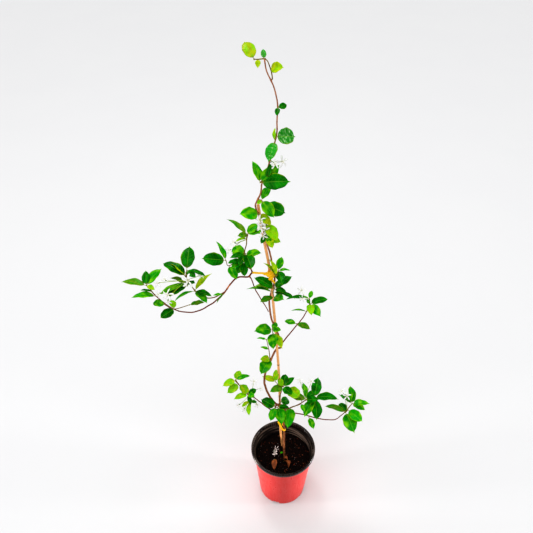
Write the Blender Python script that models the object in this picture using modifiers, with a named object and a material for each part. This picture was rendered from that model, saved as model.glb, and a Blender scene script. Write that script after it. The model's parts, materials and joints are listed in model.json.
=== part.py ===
"""Potted star jasmine: a nursery pot of potting mix with a bamboo cane, a climbing plant tied to it,
and leaves and flowers along its shoots.

Metres, +Z up. The origin is the middle of the pot's underside, and -Y is the front of the plant.
Plant tables are in millimetres and degrees. A heading of 0 points along +X and 90 along +Y, and a
lift of 0 is level.
"""

import math
from dataclasses import dataclass

import bmesh
import bpy
import numpy as np
from mathutils import Matrix, Vector

MM = 0.001
GAP = 0.3 * MM
WELD = 0.01 * MM

# Pot: a tapered plastic nursery pot with a rolled lip
POT_HEIGHT = 0.176
LIP_RADIUS = 0.0825
LIP_INNER_RADIUS = 0.0757
LIP_DEPTH = 0.010
LIP_ROUND = 0.0016
BASE_RADIUS = 0.060
BASE_ROUND = 0.004
SHOULDER_RADIUS = 0.0760
WALL = 0.0014
FLOOR = 0.0020
LEDGE_HEIGHT = 0.156
LEDGE_STEP = 0.0016
LEDGE_SLOPE = 0.0016
DRAIN_HEADINGS = (-107, -17, 73, 163)
DRAIN_WIDTH = 0.018
DRAIN_REACH = 0.004
DRAIN_HEIGHT = 0.008
TURN_STEPS = 32

# Potting mix
SOIL_TOP = 0.137
SOIL_CROWN = 0.0015
SOIL_LEVEL_RADIUS = 0.030
SOIL_SHOULDER_RADIUS = 0.055
SOIL_CLEARANCE = 2 * GAP
SOIL_HOLE_RISE = 0.050

# Cane and stems
CANE_RADIUS = 2.9
CANE_CLEARANCE = 0.5
CANE = ((1, 37, 34), (-2, 31, 134), (-8, 25, 238), (-12, 18, 383), (-16, 13, 478), (-20, 10, 541),
        (-27, 6, 649), (-37, 1, 771), (-49, -2, 855), (-58, -4, 926))
STEP = 15.0
TWIG_RADIUS = 0.9
TWIG_OVERLAP = 1.0
PETIOLE_RADIUS = 0.5

# Ties: soft garden ribbon looped round the cane and the stem beside it
TIE_RADIUS = 1.1
TIE_SLACK = 0.3
TIE_TURN_POINTS = 7
TIE_HEIGHTS = {"tie_middle": 759, "tie_lower": 244}

# Leaves
LEAF_THICKNESS = 1.0
LEAF_FOLD = 0.22
LEAF_BULGE = 0.05
LEAF_STATIONS = ((0.0, 0.0), (0.10, 0.0), (0.27, 0.80), (0.50, 0.98), (0.82, 0.46))

# Flowers
PETALS = 5
FLOWER_THICKNESS = 0.9
FLOWER_WAIST = 0.30
FLOWER_TUBE = 7.0
PETAL_SWEEP = 0.2
STALK_RADIUS = 0.7
THROAT_FLARE = 1.4

COLOURS = {
    "pot": ((0.62, 0.06, 0.05), 0.35),
    "soil": ((0.025, 0.016, 0.012), 0.95),
    "cane": ((0.55, 0.30, 0.10), 0.55),
    "bark": ((0.16, 0.07, 0.04), 0.7),
    "tie": ((0.85, 0.60, 0.04), 0.6),
    "DARK": ((0.02, 0.12, 0.02), 0.35),
    "GREEN": ((0.04, 0.20, 0.03), 0.35),
    "LIME": ((0.22, 0.42, 0.03), 0.4),
    "YELLOW": ((0.32, 0.40, 0.03), 0.4),
    "OLIVE": ((0.17, 0.20, 0.03), 0.4),
    "flower": ((0.92, 0.92, 0.90), 0.5),
    "dry": ((0.30, 0.11, 0.05), 0.8),
}


@dataclass(frozen=True)
class Stem:
    """A shoot: what it leaves, its radius at both ends and its course."""

    parent: str
    thick: float
    thin: float
    course: tuple


@dataclass(frozen=True)
class Leaf:
    """A leaf: the point of its twig it grows from, where it points, and its size."""

    at: int
    heading: float
    lift: float
    roll: float
    length: float
    width: float


@dataclass(frozen=True)
class Spray:
    """A few leaves on one short twig."""

    parent: str
    tone: str
    twig: tuple
    leaves: tuple


@dataclass(frozen=True)
class Cluster:
    """Flowers on one short stalk: each is a place, a heading, a lift and a radius."""

    parent: str
    hub: tuple
    flowers: tuple


STEMS = {
    "stem_main": Stem("soil", 3.0, 1.0, (
        (4, -10, 110), (4, -10, 137), (2, 0, 177), (2, 8, 215), (1, 13, 262), (2, 14, 303), (-4, 8, 336),
        (-18, 0, 350), (-32, -6, 381), (-43, -8, 415), (-48, -9, 448), (-45, -8, 477), (-35, -2, 507),
        (-22, 22, 519), (-11, 17, 533), (-12, 12, 555), (-17, 3, 585), (-25, -3, 616), (-33, -2, 642),
        (-36, 4, 663), (-37, 10, 683), (-31, 11, 711), (-27, 5, 739), (-29, 1, 768), (-33, -1, 795),
        (-38, -5, 824), (-44, -9, 851), (-49, -10, 883), (-56, -11, 908), (-62, -9, 922), (-60, -4, 933),
        (-54, 4, 943), (-52, 6, 955), (-51, 4, 965), (-44, 2, 986), (-37, 0, 1014), (-30, 0, 1044),
        (-26, 2, 1063), (-26, 4, 1085), (-25, 6, 1107), (-27, 6, 1122), (-31, 4, 1139), (-36, 2, 1152),
        (-41, 0, 1163), (-44, -2, 1173), (-46, 0, 1186))),
    "stem_left_arch": Stem("stem_main", 1.6, 1.0, (
        (-30, -5, 768), (-39, -10, 770), (-52, -12, 773), (-70, -14, 776), (-78, -16, 768), (-94, -18, 769),
        (-104, -20, 765), (-113, -22, 754), (-125, -24, 735), (-145, -26, 712), (-161, -28, 700),
        (-179, -30, 690), (-196, -30, 686), (-219, -32, 692), (-240, -32, 708), (-257, -30, 728),
        (-264, -28, 736), (-272, -26, 751))),
    "stem_left_riser": Stem("stem_left_arch", 1.1, 0.9, (
        (-126, -26, 736), (-144, -32, 729), (-159, -32, 727), (-174, -30, 736), (-182, -28, 743),
        (-194, -18, 757), (-198, -11, 767), (-199, -8, 773))),
    "stem_middle_left": Stem("stem_left_arch", 1.2, 0.9, (
        (-71, -9, 780), (-80, -7, 786), (-85, -4, 799), (-85, 0, 816), (-81, 2, 831), (-80, 2, 845),
        (-78, 0, 856))),
    "stem_diagonal": Stem("stem_left_arch", 1.1, 0.9, (
        (-73, -13, 762), (-66, -7, 730), (-59, -3, 708), (-51, 0, 687), (-43, 2, 668), (-39, 1, 658))),
    "stem_upper_right": Stem("stem_main", 1.4, 0.9, (
        (-11, 12, 546), (-5, 11, 560), (6, 14, 577), (20, 18, 597), (31, 21, 613), (40, 24, 631),
        (47, 26, 652), (47, 26, 670))),
    "stem_lower_crown": Stem("stem_main", 1.5, 0.9, (
        (-10, 3, 352), (-12, 4, 372), (-8, 4, 396), (-7, 4, 418))),
    "stem_lower_left": Stem("stem_main", 1.4, 0.9, (
        (-22, -8, 347), (-33, -20, 358), (-56, -27, 393), (-74, -29, 418), (-88, -29, 431),
        (-104, -28, 457), (-112, -26, 468))),
    "stem_lower_right": Stem("stem_main", 1.4, 0.9, (
        (3, 0, 332), (15, -10, 352), (35, -12, 368), (49, -12, 383), (64, -10, 387))),
    "stem_long_right": Stem("stem_main", 1.4, 0.9, (
        (6, 4, 313), (27, -12, 333), (50, -24, 342), (74, -32, 341), (97, -40, 346), (117, -46, 355),
        (128, -48, 371), (138, -48, 387), (148, -46, 407))),
}

SPRAYS = {
    "leaves_tip": Spray("stem_main", "LIME", ((-47, 2, 1186), (-56, 5, 1184), (-62, 8, 1183)), (
        Leaf(2, 115, 25, -20, 37, 19), Leaf(1, -90, -35, 0, 15, 8), Leaf(0, 95, 45, 0, 15, 8))),
    "leaves_tip_side": Spray("stem_main", "LIME", ((-34, 7, 1153), (-35, 11, 1160), (-37, 12, 1167),
        (-41, 9, 1179)), (
        Leaf(2, -45, 20, 65, 29, 16),)),
    "leaves_leader_high": Spray("stem_main", "DARK", ((-25, 1, 1108),), (
        Leaf(0, 40, -5, 50, 19, 10), Leaf(0, -95, -25, 0, 16, 8))),
    "leaves_leader_round": Spray("stem_main", "DARK", ((-28, -4, 1059), (-29, -5, 1052)), (
        Leaf(0, 5, 0, 50, 31, 26), Leaf(1, -110, -35, -5, 37, 19), Leaf(1, 90, 50, -50, 22, 8))),
    "leaves_leader_middle": Spray("stem_main", "GREEN", ((-54, -11, 976), (-42, -9, 984)), (
        Leaf(0, 115, 40, 15, 40, 16), Leaf(0, -10, 10, 45, 51, 27), Leaf(0, 20, 38, 55, 43, 23),
        Leaf(1, 10, 76, 60, 33, 9))),
    "leaves_leader_low": Spray("stem_main", "DARK", ((-52, -5, 936), (-47, -3, 926)), (
        Leaf(0, 50, 35, 0, 30, 15), Leaf(0, -120, 0, -25, 14, 7), Leaf(0, -50, -25, 20, 38, 20),
        Leaf(1, 15, -35, 55, 47, 25))),
    "leaves_cane_top": Spray("stem_main", "GREEN", ((-56, -16, 915),), (
        Leaf(0, -145, 20, -50, 41, 22), Leaf(0, -40, -25, 25, 29, 15))),
    "leaves_cane_upper": Spray("stem_main", "GREEN", ((-44, -16, 894), (-43, -17, 870),
        (-35, -18, 861)), (
        Leaf(0, -55, -30, 15, 38, 20), Leaf(1, -60, -35, 10, 27, 14), Leaf(2, -40, 10, 40, 23, 12),
        Leaf(1, -125, -35, -5, 19, 10), Leaf(1, -65, -35, 5, 17, 9))),
    "leaves_left_crown": Spray("stem_middle_left", "OLIVE", ((-79, -3, 860), (-80, -6, 853)), (
        Leaf(0, 145, 20, 10, 48, 17), Leaf(0, 45, 20, 25, 29, 15), Leaf(0, 20, 0, 10, 30, 15),
        Leaf(0, -140, 15, -40, 22, 11), Leaf(1, -150, 5, 0, 24, 7))),
    "leaves_left_heart": Spray("stem_middle_left", "DARK", ((-83, -7, 817),), (
        Leaf(0, 135, -15, -35, 40, 22), Leaf(0, -10, 10, 15, 30, 16), Leaf(0, -70, -5, 0, 40, 22),
        Leaf(0, -160, 0, -10, 30, 12), Leaf(0, -110, -10, -10, 29, 15))),
    "leaves_left_fan": Spray("stem_middle_left", "GREEN", ((-88, -14, 804),), (
        Leaf(0, -165, 5, -5, 28, 14), Leaf(0, -150, -10, -20, 25, 13), Leaf(0, -115, -25, -10, 26, 14),
        Leaf(0, -80, -30, 0, 29, 15))),
    "leaves_left_tail": Spray("stem_middle_left", "GREEN", ((-94, 4, 795), (-116, 0, 782),
        (-121, -2, 797)), (
        Leaf(2, 120, 30, 25, 43, 14), Leaf(2, -165, 15, -40, 45, 24), Leaf(1, -60, -20, 10, 32, 17))),
    "leaves_arch_inner": Spray("stem_left_arch", "OLIVE", ((-127, -30, 735),), (
        Leaf(0, -165, 5, 5, 20, 7), Leaf(0, -130, -25, 25, 22, 7))),
    "leaves_arch_upper": Spray("stem_left_riser", "YELLOW", ((-182, -33, 746),), (
        Leaf(0, 45, 20, -10, 48, 16), Leaf(0, -40, -20, -5, 34, 17), Leaf(0, -20, -5, -5, 35, 14),
        Leaf(0, -155, -10, 25, 42, 14))),
    "leaves_arch_middle": Spray("stem_left_riser", "GREEN", ((-196, -20, 754), (-196, -23, 751)), (
        Leaf(1, -157, -17, 0, 44, 22), Leaf(0, -165, -15, 5, 60, 19), Leaf(0, 160, 5, 5, 38, 15),
        Leaf(0, -45, 35, 20, 28, 14))),
    "leaves_arch_top": Spray("stem_left_riser", "DARK", ((-199, -18, 770), (-196, -14, 782)), (
        Leaf(1, 85, 30, 0, 49, 26), Leaf(0, 150, 15, 5, 51, 25), Leaf(0, 140, 20, 30, 42, 15),
        Leaf(1, -40, -10, 20, 24, 13), Leaf(1, -20, -5, -5, 38, 13))),
    "leaves_arch_under": Spray("stem_left_arch", "DARK", ((-241, -40, 716), (-225, -37, 702),
        (-194, -38, 714)), (
        Leaf(1, -130, 0, -25, 34, 18), Leaf(1, 110, 5, 0, 25, 13), Leaf(2, -5, 15, 0, 30, 13),
        Leaf(0, 168, 0, -25, 25, 15))),
    "leaves_arch_outer": Spray("stem_left_arch", "GREEN", ((-257, -37, 736), (-264, -36, 747)), (
        Leaf(0, -170, 10, 0, 45, 15), Leaf(1, 165, -5, 20, 24, 9))),
    "leaves_arch_tip": Spray("stem_left_arch", "DARK", ((-275, -26, 754),), (
        Leaf(0, 165, 0, 0, 52, 18), Leaf(0, 100, 30, 0, 30, 15), Leaf(0, 50, 25, 5, 43, 21),
        Leaf(0, -25, -10, 15, 19, 10))),
    "leaves_right_small": Spray("stem_main", "GREEN", ((-24, -25, 777), (-20, -1, 771)), (
        Leaf(1, 75, 35, 0, 28, 14), Leaf(1, -10, 10, 0, 24, 9), Leaf(1, -80, -5, 0, 36, 19),
        Leaf(0, 120, 45, 30, 34, 15), Leaf(0, 145, 35, 20, 35, 12))),
    "leaves_right_pair": Spray("stem_main", "GREEN", ((-28, -15, 735), (-30, -13, 725),
        (-28, -12, 711)), (
        Leaf(0, 35, 15, -5, 45, 22), Leaf(0, 155, 20, -5, 44, 23), Leaf(0, 165, 0, 5, 39, 16),
        Leaf(1, -175, 15, 20, 53, 18), Leaf(2, -155, -5, -5, 29, 14), Leaf(2, -60, 30, 35, 37, 20),
        Leaf(1, -20, 0, -10, 45, 16), Leaf(0, -20, 0, 0, 25, 13))),
    "leaves_upper_right_pair": Spray("stem_upper_right", "GREEN", ((21, 12, 611),), (
        Leaf(0, 160, 0, -10, 26, 13), Leaf(0, -25, -5, 5, 31, 16))),
    "leaves_upper_right_fan": Spray("stem_upper_right", "DARK", ((42, 18, 642), (48, 20, 662)), (
        Leaf(1, 20, 0, 0, 40, 18), Leaf(1, 150, 55, -65, 13, 7), Leaf(1, -50, -20, 20, 34, 18),
        Leaf(1, -90, -5, 0, 30, 16), Leaf(0, -175, 10, 25, 34, 12))),
    "leaves_upper_right_tip": Spray("stem_upper_right", "GREEN", ((46, 22, 675),), (
        Leaf(0, -170, 10, 20, 49, 16), Leaf(0, 65, 30, 0, 18, 9), Leaf(0, 160, 0, 20, 25, 9))),
    "leaves_cane_node": Spray("stem_main", "GREEN", ((-31, -14, 622), (-30, -16, 613)), (
        Leaf(0, -150, 20, -35, 43, 23), Leaf(0, 45, 30, 5, 16, 12), Leaf(0, -35, 20, 35, 22, 12),
        Leaf(1, -90, -5, 0, 41, 21), Leaf(1, -55, -25, -15, 38, 19))),
    "leaves_loop": Spray("stem_main", "GREEN", ((-35, -8, 522), (-38, -10, 555), (-43, -10, 586)), (
        Leaf(0, -115, 0, -5, 45, 24), Leaf(0, -150, 30, -35, 28, 15), Leaf(1, 160, 0, 0, 20, 8),
        Leaf(2, 165, -5, 5, 22, 7))),
    "leaves_low_left_tip": Spray("stem_lower_left", "LIME", ((-112, -27, 474), (-105, -30, 463)), (
        Leaf(0, 70, -5, 5, 30, 16), Leaf(0, 20, 0, 0, 34, 14), Leaf(0, -150, -5, -15, 31, 16),
        Leaf(1, -140, -10, -20, 32, 17))),
    "leaves_low_left_middle": Spray("stem_lower_left", "GREEN", ((-85, -42, 441), (-79, -37, 412)), (
        Leaf(0, 132, 30, 0, 28, 20), Leaf(0, 40, 0, 20, 24, 13), Leaf(0, -40, 25, 25, 22, 12),
        Leaf(0, -160, 0, 5, 32, 15), Leaf(0, -75, -25, -30, 24, 12), Leaf(1, -145, -10, 15, 24, 10),
        Leaf(1, -95, -25, 45, 32, 14), Leaf(1, -20, 5, 25, 15, 7))),
    "leaves_low_crown": Spray("stem_lower_crown", "GREEN", ((-4, -1, 418), (-13, -3, 425),
        (-22, -3, 438)), (
        Leaf(0, 80, 10, 0, 34, 18), Leaf(0, 40, 10, 0, 35, 17), Leaf(0, -150, 5, -20, 34, 18),
        Leaf(0, -60, 15, 15, 36, 19), Leaf(2, 155, 5, 5, 33, 17), Leaf(2, 90, 25, 0, 29, 13),
        Leaf(0, 142, 45, -5, 22, 16))),
    "leaves_low_heart": Spray("stem_main", "GREEN", ((-22, -28, 378), (-16, -17, 364),
        (-11, -14, 378)), (
        Leaf(0, 155, 10, -10, 37, 25), Leaf(2, 45, -35, 35, 39, 20), Leaf(0, -110, -15, 0, 34, 18),
        Leaf(1, -80, 0, 0, 50, 26), Leaf(1, -10, 10, 10, 27, 13))),
    "leaves_low_right_inner": Spray("stem_lower_right", "GREEN", ((15, -15, 360), (37, -27, 389),
        (37, -25, 410)), (
        Leaf(0, -100, -10, 0, 51, 26), Leaf(2, 135, -15, -20, 50, 26), Leaf(1, -65, -20, 0, 21, 11))),
    "leaves_low_right_middle": Spray("stem_lower_right", "DARK", ((49, -17, 391),), (
        Leaf(0, 160, -5, -5, 36, 18), Leaf(0, 100, 25, 40, 41, 16), Leaf(0, 45, 10, 10, 32, 16),
        Leaf(0, -20, 25, 30, 32, 17))),
    "leaves_low_right_tip": Spray("stem_lower_right", "DARK", ((69, -12, 392),), (
        Leaf(0, 75, 25, 0, 48, 23), Leaf(0, -10, 10, -5, 54, 26), Leaf(0, -85, -25, -15, 50, 25),
        Leaf(0, -120, -20, 20, 49, 24))),
    "leaves_long_right_hanging": Spray("stem_long_right", "GREEN", ((57, -33, 346),), (
        Leaf(0, -70, -20, 0, 29, 15),)),
    "leaves_long_right_low": Spray("stem_long_right", "GREEN", ((137, -55, 393), (142, -55, 403)), (
        Leaf(1, -55, 10, 20, 44, 23), Leaf(0, -75, 5, 5, 55, 30), Leaf(0, 155, 0, 15, 48, 19),
        Leaf(0, 105, -10, -5, 33, 18))),
    "leaves_long_right_tip": Spray("stem_long_right", "YELLOW", ((151, -46, 414),), (
        Leaf(0, 90, 25, 25, 40, 20), Leaf(0, 75, 20, -45, 31, 12), Leaf(0, -10, 10, 0, 39, 19),
        Leaf(0, -30, -5, 5, 31, 15), Leaf(0, 140, 10, 10, 35, 17))),
}

FLOWERS = {
    "flowers_leader": Cluster("stem_main", (-30, -6, 1012), (
        (-16, -10, 1016, -60, 20, 11), (-29, -14, 1014, -110, 50, 9))),
    "flowers_cane": Cluster("stem_main", (-50, -18, 889), (
        (-54, -28, 910, -100, 40, 10), (-47, -28, 905, -60, 20, 9), (-53, -33, 897, -120, 25, 10),
        (-45, -30, 889, -70, 10, 9), (-49, -30, 876, -100, 0, 9), (-50, -22, 898, -90, 50, 9),
        (-49, -26, 888, -90, 20, 9))),
    "flowers_left": Cluster("stem_middle_left", (-88, -4, 845), (
        (-104, -10, 848, -140, 50, 9), (-113, -18, 835, -120, 20, 9))),
    "flowers_arch": Cluster("stem_left_riser", (-197, -34, 772), (
        (-191, -40, 778, -90, 45, 14), (-231, -51, 753, -110, 50, 12), (-169, -14, 769, -60, 40, 7),
        (-249, -44, 776, -120, 30, 10), (-250, -48, 752, -130, 20, 9), (-231, -56, 739, -80, 10, 8),
        (-239, -22, 767, -120, 60, 8))),
    "flowers_upper_right": Cluster("stem_upper_right", (37, 35, 663), (
        (29, 24, 697, -110, 50, 10),)),
    "flowers_low_left": Cluster("stem_lower_left", (-78, -22, 418), (
        (-64, -44, 405, -70, 10, 9), (-95, -46, 391, -110, 20, 9), (-109, -40, 400, -140, 10, 8),
        (-71, -22, 463, -90, 50, 9), (-56, -20, 435, -40, 40, 7))),
    "flowers_long_right": Cluster("stem_long_right", (139, -55, 404), (
        (135, -54, 452, -110, 55, 10), (123, -50, 464, -140, 50, 9))),
}

# Litter on the potting mix
FALLEN_FLOWER = (-20, 6, 140)
FALLEN_LIFT = 85
FALLEN_RADIUS = 9
DRY_LEAF_PLACE = (-22, -22, 139.6)
DRY_LEAF = Leaf(0, -95, 0, 0, 26, 12)


def to_metres(points):
    """A table's points as an array in metres."""
    return np.array(points, float) * MM


def smooth_course(points, step):
    """Points about one step apart on a Catmull-Rom curve through the given ones."""
    course = to_metres(points)
    ends = (2 * course[0] - course[1], *course, 2 * course[-1] - course[-2])
    found = []
    for before, start, end, after in zip(ends, ends[1:], ends[2:], ends[3:]):
        count = max(1, round(np.linalg.norm(end - start) / (step * MM)))
        for t in np.arange(count) / count:
            found.append(0.5 * (2 * start + (end - before) * t
                                + (2 * before - 5 * start + 4 * end - after) * t ** 2
                                + (3 * start - before - 3 * end + after) * t ** 3))
    found.append(course[-1])
    return np.array(found)


def nearest_on(course, point):
    """The place on a course nearest to a point, how far along it is from 0 to 1, and its direction."""
    starts, spans = course[:-1], np.diff(course, axis=0)
    share = np.clip(np.einsum("ij,ij->i", point - starts, spans) / (spans ** 2).sum(axis=1), 0, 1)
    places = starts + share[:, None] * spans
    i = int(np.argmin(np.linalg.norm(places - point, axis=1)))
    return places[i], (i + share[i]) / len(spans), spans[i] / np.linalg.norm(spans[i])


def clear_of_cane(course, cane, distance):
    """The course with each point that is too near the cane moved straight out from its axis."""
    moved = []
    for point in course:
        axis, _, _ = nearest_on(cane, point)
        away = point - axis
        length = np.linalg.norm(away)
        moved.append(axis + away * max(1.0, distance / length))
    return np.array(moved)


def beside(parent, origin, target, radius):
    """A start just off the parent's surface, near the origin, for a tube that heads to the target."""
    parent_course, parent_radii = parent
    place, share, along = nearest_on(parent_course, origin)
    towards = target - place
    towards /= np.linalg.norm(towards)
    out = towards - along * towards.dot(along)
    out /= np.linalg.norm(out)
    slant = radius * abs(towards.dot(along))
    parent_radius = parent_radii[0] + (parent_radii[1] - parent_radii[0]) * share
    return place + out * (parent_radius + GAP + slant)


def material(kind):
    """The Principled material of one colour group, made once."""
    found = bpy.data.materials.get(kind)
    if found:
        return found
    colour, roughness = COLOURS[kind]
    found = bpy.data.materials.new(kind)
    found.use_nodes = True
    shader = found.node_tree.nodes["Principled BSDF"]
    shader.inputs["Base Color"].default_value = (*colour, 1)
    shader.inputs["Roughness"].default_value = roughness
    found.diffuse_color = (*colour, 1)
    return found


def add_object(name, data, kind, collection):
    """A new object of this mesh or curve, with its own copy of the group's material."""
    made = bpy.data.objects.new(name, data)
    own = material(kind).copy()
    own.name = name
    made.data.materials.append(own)
    collection.objects.link(made)
    return made


def tube_curve(name, course, radii, resolution=2, closed=False):
    """Curve data for a round tube along a course, its radius running evenly from the first to the second."""
    curve = bpy.data.curves.new(name, "CURVE")
    curve.dimensions = "3D"
    curve.bevel_depth = 1.0
    curve.bevel_resolution = resolution
    curve.use_fill_caps = not closed
    spline = curve.splines.new("POLY")
    spline.points.add(len(course) - 1)
    spline.use_cyclic_u = closed
    for point, place, radius in zip(spline.points, course, np.linspace(*radii, len(course))):
        point.co = (*place, 1)
        point.radius = radius
    return curve


def tube_mesh(name, course, radii, resolution=1):
    """The same tube as a closed mesh, for pieces that are joined or cut."""
    curve = tube_curve(name, course, radii, resolution)
    holder = bpy.data.objects.new(name + "_curve", curve)
    bpy.context.scene.collection.objects.link(holder)
    graph = bpy.context.evaluated_depsgraph_get()
    mesh = bpy.data.meshes.new_from_object(holder.evaluated_get(graph))
    bpy.data.objects.remove(holder)
    shape = bmesh.new()
    shape.from_mesh(mesh)
    bmesh.ops.remove_doubles(shape, verts=shape.verts, dist=WELD)
    bmesh.ops.recalc_face_normals(shape, faces=shape.faces)
    shape.to_mesh(mesh)
    shape.free()
    return mesh


def frame_of(heading, lift, roll):
    """A matrix whose X runs along a leaf, Y across it and Z out of its upper face."""
    turned = Matrix.Rotation(math.radians(heading), 3, "Z")
    lifted = Matrix.Rotation(-math.radians(lift), 3, "Y")
    return turned @ lifted @ Matrix.Rotation(math.radians(roll), 3, "X")


def leaf_mesh(name, base, leaf):
    """A petiole and blade: four-cornered sections from the node to the tip, folded up at the midrib."""
    frame = frame_of(leaf.heading, leaf.lift, leaf.roll)
    shape = bmesh.new()
    rings = []
    for along, breadth in LEAF_STATIONS:
        half = max(PETIOLE_RADIUS, breadth * leaf.width / 2)
        thick = PETIOLE_RADIUS if breadth == 0 else LEAF_THICKNESS / 2
        fold = 0 if breadth == 0 else LEAF_FOLD * half
        rise = 4 * LEAF_BULGE * leaf.length * along * (1 - along)
        corners = ((half, fold), (0, thick), (-half, fold), (0, -thick))
        rings.append([
            shape.verts.new(base + frame @ Vector((along * leaf.length, y, rise + z)) * MM)
            for y, z in corners
        ])
    tip = shape.verts.new(base + frame @ Vector((leaf.length, 0, 0)) * MM)
    for first, second in zip(rings, rings[1:]):
        for i in range(4):
            shape.faces.new((first[i - 1], first[i], second[i], second[i - 1]))
    for i in range(4):
        shape.faces.new((rings[-1][i - 1], rings[-1][i], tip))
    shape.faces.new(rings[0])
    bmesh.ops.recalc_face_normals(shape, faces=shape.faces)
    mesh = bpy.data.meshes.new(name)
    shape.to_mesh(mesh)
    shape.free()
    return mesh


def star_mesh(name, centre, heading, lift, radius):
    """A flower's open face: a thin five-pointed star whose points sweep to one side."""
    frame = frame_of(heading, lift, 0)
    shape = bmesh.new()
    layers = []
    for depth in (-FLOWER_THICKNESS / 2, FLOWER_THICKNESS / 2):
        layer = []
        for i in range(2 * PETALS):
            reach = radius if i % 2 else radius * FLOWER_WAIST
            angle = math.pi * i / PETALS + (PETAL_SWEEP if i % 2 else 0)
            corner = Vector((depth, reach * math.cos(angle), reach * math.sin(angle)))
            layer.append(shape.verts.new(centre + frame @ corner * MM))
        layers.append(layer)
    back, front = layers
    count = len(back)
    for i in range(count):
        shape.faces.new((back[i - 1], back[i], front[i], front[i - 1]))
    shape.faces.new(front)
    shape.faces.new(back[::-1])
    bmesh.ops.recalc_face_normals(shape, faces=shape.faces)
    mesh = bpy.data.meshes.new(name)
    shape.to_mesh(mesh)
    shape.free()
    return mesh


def join_by_union(whole, meshes, cutters):
    """Joins each mesh to an object with its own Boolean, so that the object is one closed body."""
    for i, mesh in enumerate(meshes):
        helper = bpy.data.objects.new(f"{whole.name}_piece_{i}", mesh)
        helper.hide_render = True
        helper.display_type = "WIRE"
        cutters.objects.link(helper)
        union = whole.modifiers.new(f"join_{i}", "BOOLEAN")
        union.operation = "UNION"
        union.solver = "EXACT"
        union.object = helper


def cut_away(whole, mesh, cutters):
    """Cuts a mesh out of an object."""
    helper = bpy.data.objects.new(f"{whole.name}_cut_{len(whole.modifiers)}", mesh)
    helper.hide_render = True
    helper.display_type = "WIRE"
    cutters.objects.link(helper)
    cut = whole.modifiers.new("cut", "BOOLEAN")
    cut.operation = "DIFFERENCE"
    cut.solver = "EXACT"
    cut.object = helper


def turned(name, profile, kind, collection):
    """A turned solid: the profile starts and ends on the axis and runs down its outer side."""
    mesh = bpy.data.meshes.new(name)
    corners = [(radius, 0, height) for radius, height in profile]
    mesh.from_pydata(corners, [(i, i + 1) for i in range(len(corners) - 1)], [])
    made = add_object(name, mesh, kind, collection)
    screw = made.modifiers.new("turn", "SCREW")
    screw.steps = TURN_STEPS
    screw.render_steps = TURN_STEPS
    screw.use_merge_vertices = True
    screw.merge_threshold = 0.00005
    return made


def wall_radius(height):
    """The outer radius of the pot's tapered wall at a height."""
    share = height / (POT_HEIGHT - LIP_DEPTH)
    return BASE_RADIUS + (SHOULDER_RADIUS - BASE_RADIUS) * share


def inner_radius(height):
    """The inner radius of the pot at a height, wider above the stacking ledge."""
    return wall_radius(height) - WALL - (LEDGE_STEP if height < LEDGE_HEIGHT else 0)


def make_pot(collection, cutters):
    """The pot: tapered wall, stacking ledge inside, rolled lip, and slots at the edge of its floor."""
    under_lip = POT_HEIGHT - LIP_DEPTH
    edge = LIP_ROUND / 3
    profile = [
        (0, FLOOR),
        (inner_radius(FLOOR) - BASE_ROUND, FLOOR),
        (inner_radius(2 * BASE_ROUND), FLOOR + BASE_ROUND),
        (inner_radius(LEDGE_HEIGHT) - LEDGE_STEP, LEDGE_HEIGHT - LEDGE_SLOPE),
        (inner_radius(LEDGE_HEIGHT), LEDGE_HEIGHT),
        (LIP_INNER_RADIUS - LIP_ROUND / 2, POT_HEIGHT - LIP_DEPTH / 2),
        (LIP_INNER_RADIUS, POT_HEIGHT - LIP_ROUND),
        (LIP_INNER_RADIUS + LIP_ROUND, POT_HEIGHT),
        (LIP_RADIUS - 1.5 * LIP_ROUND, POT_HEIGHT),
        (LIP_RADIUS - edge, POT_HEIGHT - LIP_ROUND),
        (LIP_RADIUS, POT_HEIGHT - 2.4 * LIP_ROUND),
        (LIP_RADIUS - edge, under_lip + 2 * edge),
        (SHOULDER_RADIUS + 2 * edge, under_lip),
        (wall_radius(under_lip - LIP_ROUND), under_lip - LIP_ROUND),
        (wall_radius(BASE_ROUND), BASE_ROUND),
        (wall_radius(BASE_ROUND) - 0.3 * BASE_ROUND, 0.3 * BASE_ROUND),
        (wall_radius(0) - BASE_ROUND, 0),
        (0, 0),
    ]
    pot = turned("pot", profile, "pot", collection)
    span = 2 * DRAIN_REACH
    for heading in DRAIN_HEADINGS:
        turn = Matrix.Rotation(math.radians(heading), 4, "Z")
        middle = turn @ Matrix.Translation((BASE_RADIUS, 0, 0))
        cutter = bmesh.new()
        bmesh.ops.create_cube(
            cutter, size=1, matrix=middle @ Matrix.Diagonal((span, DRAIN_WIDTH, 2 * DRAIN_HEIGHT, 1)))
        mesh = bpy.data.meshes.new("drain")
        cutter.to_mesh(mesh)
        cutter.free()
        cut_away(pot, mesh, cutters)


def make_soil(collection, cutters, buried):
    """The potting mix, with a snug hole round each thing that stands in it."""
    bottom = FLOOR + GAP
    profile = [
        (0, SOIL_TOP + SOIL_CROWN),
        (SOIL_LEVEL_RADIUS, SOIL_TOP + SOIL_CROWN),
        (SOIL_SHOULDER_RADIUS, SOIL_TOP + SOIL_CROWN / 2),
        (inner_radius(SOIL_TOP) - SOIL_CLEARANCE, SOIL_TOP),
        (inner_radius(2 * BASE_ROUND) - SOIL_CLEARANCE, bottom + BASE_ROUND + SOIL_CLEARANCE),
        (inner_radius(FLOOR) - BASE_ROUND - SOIL_CLEARANCE, bottom),
        (0, bottom),
    ]
    soil = turned("soil", profile, "soil", collection)
    for name, course, radii in buried:
        wider = [radius + GAP for radius in radii]
        cut_away(soil, tube_mesh(name + "_hole", course, wider, 2), cutters)


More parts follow.
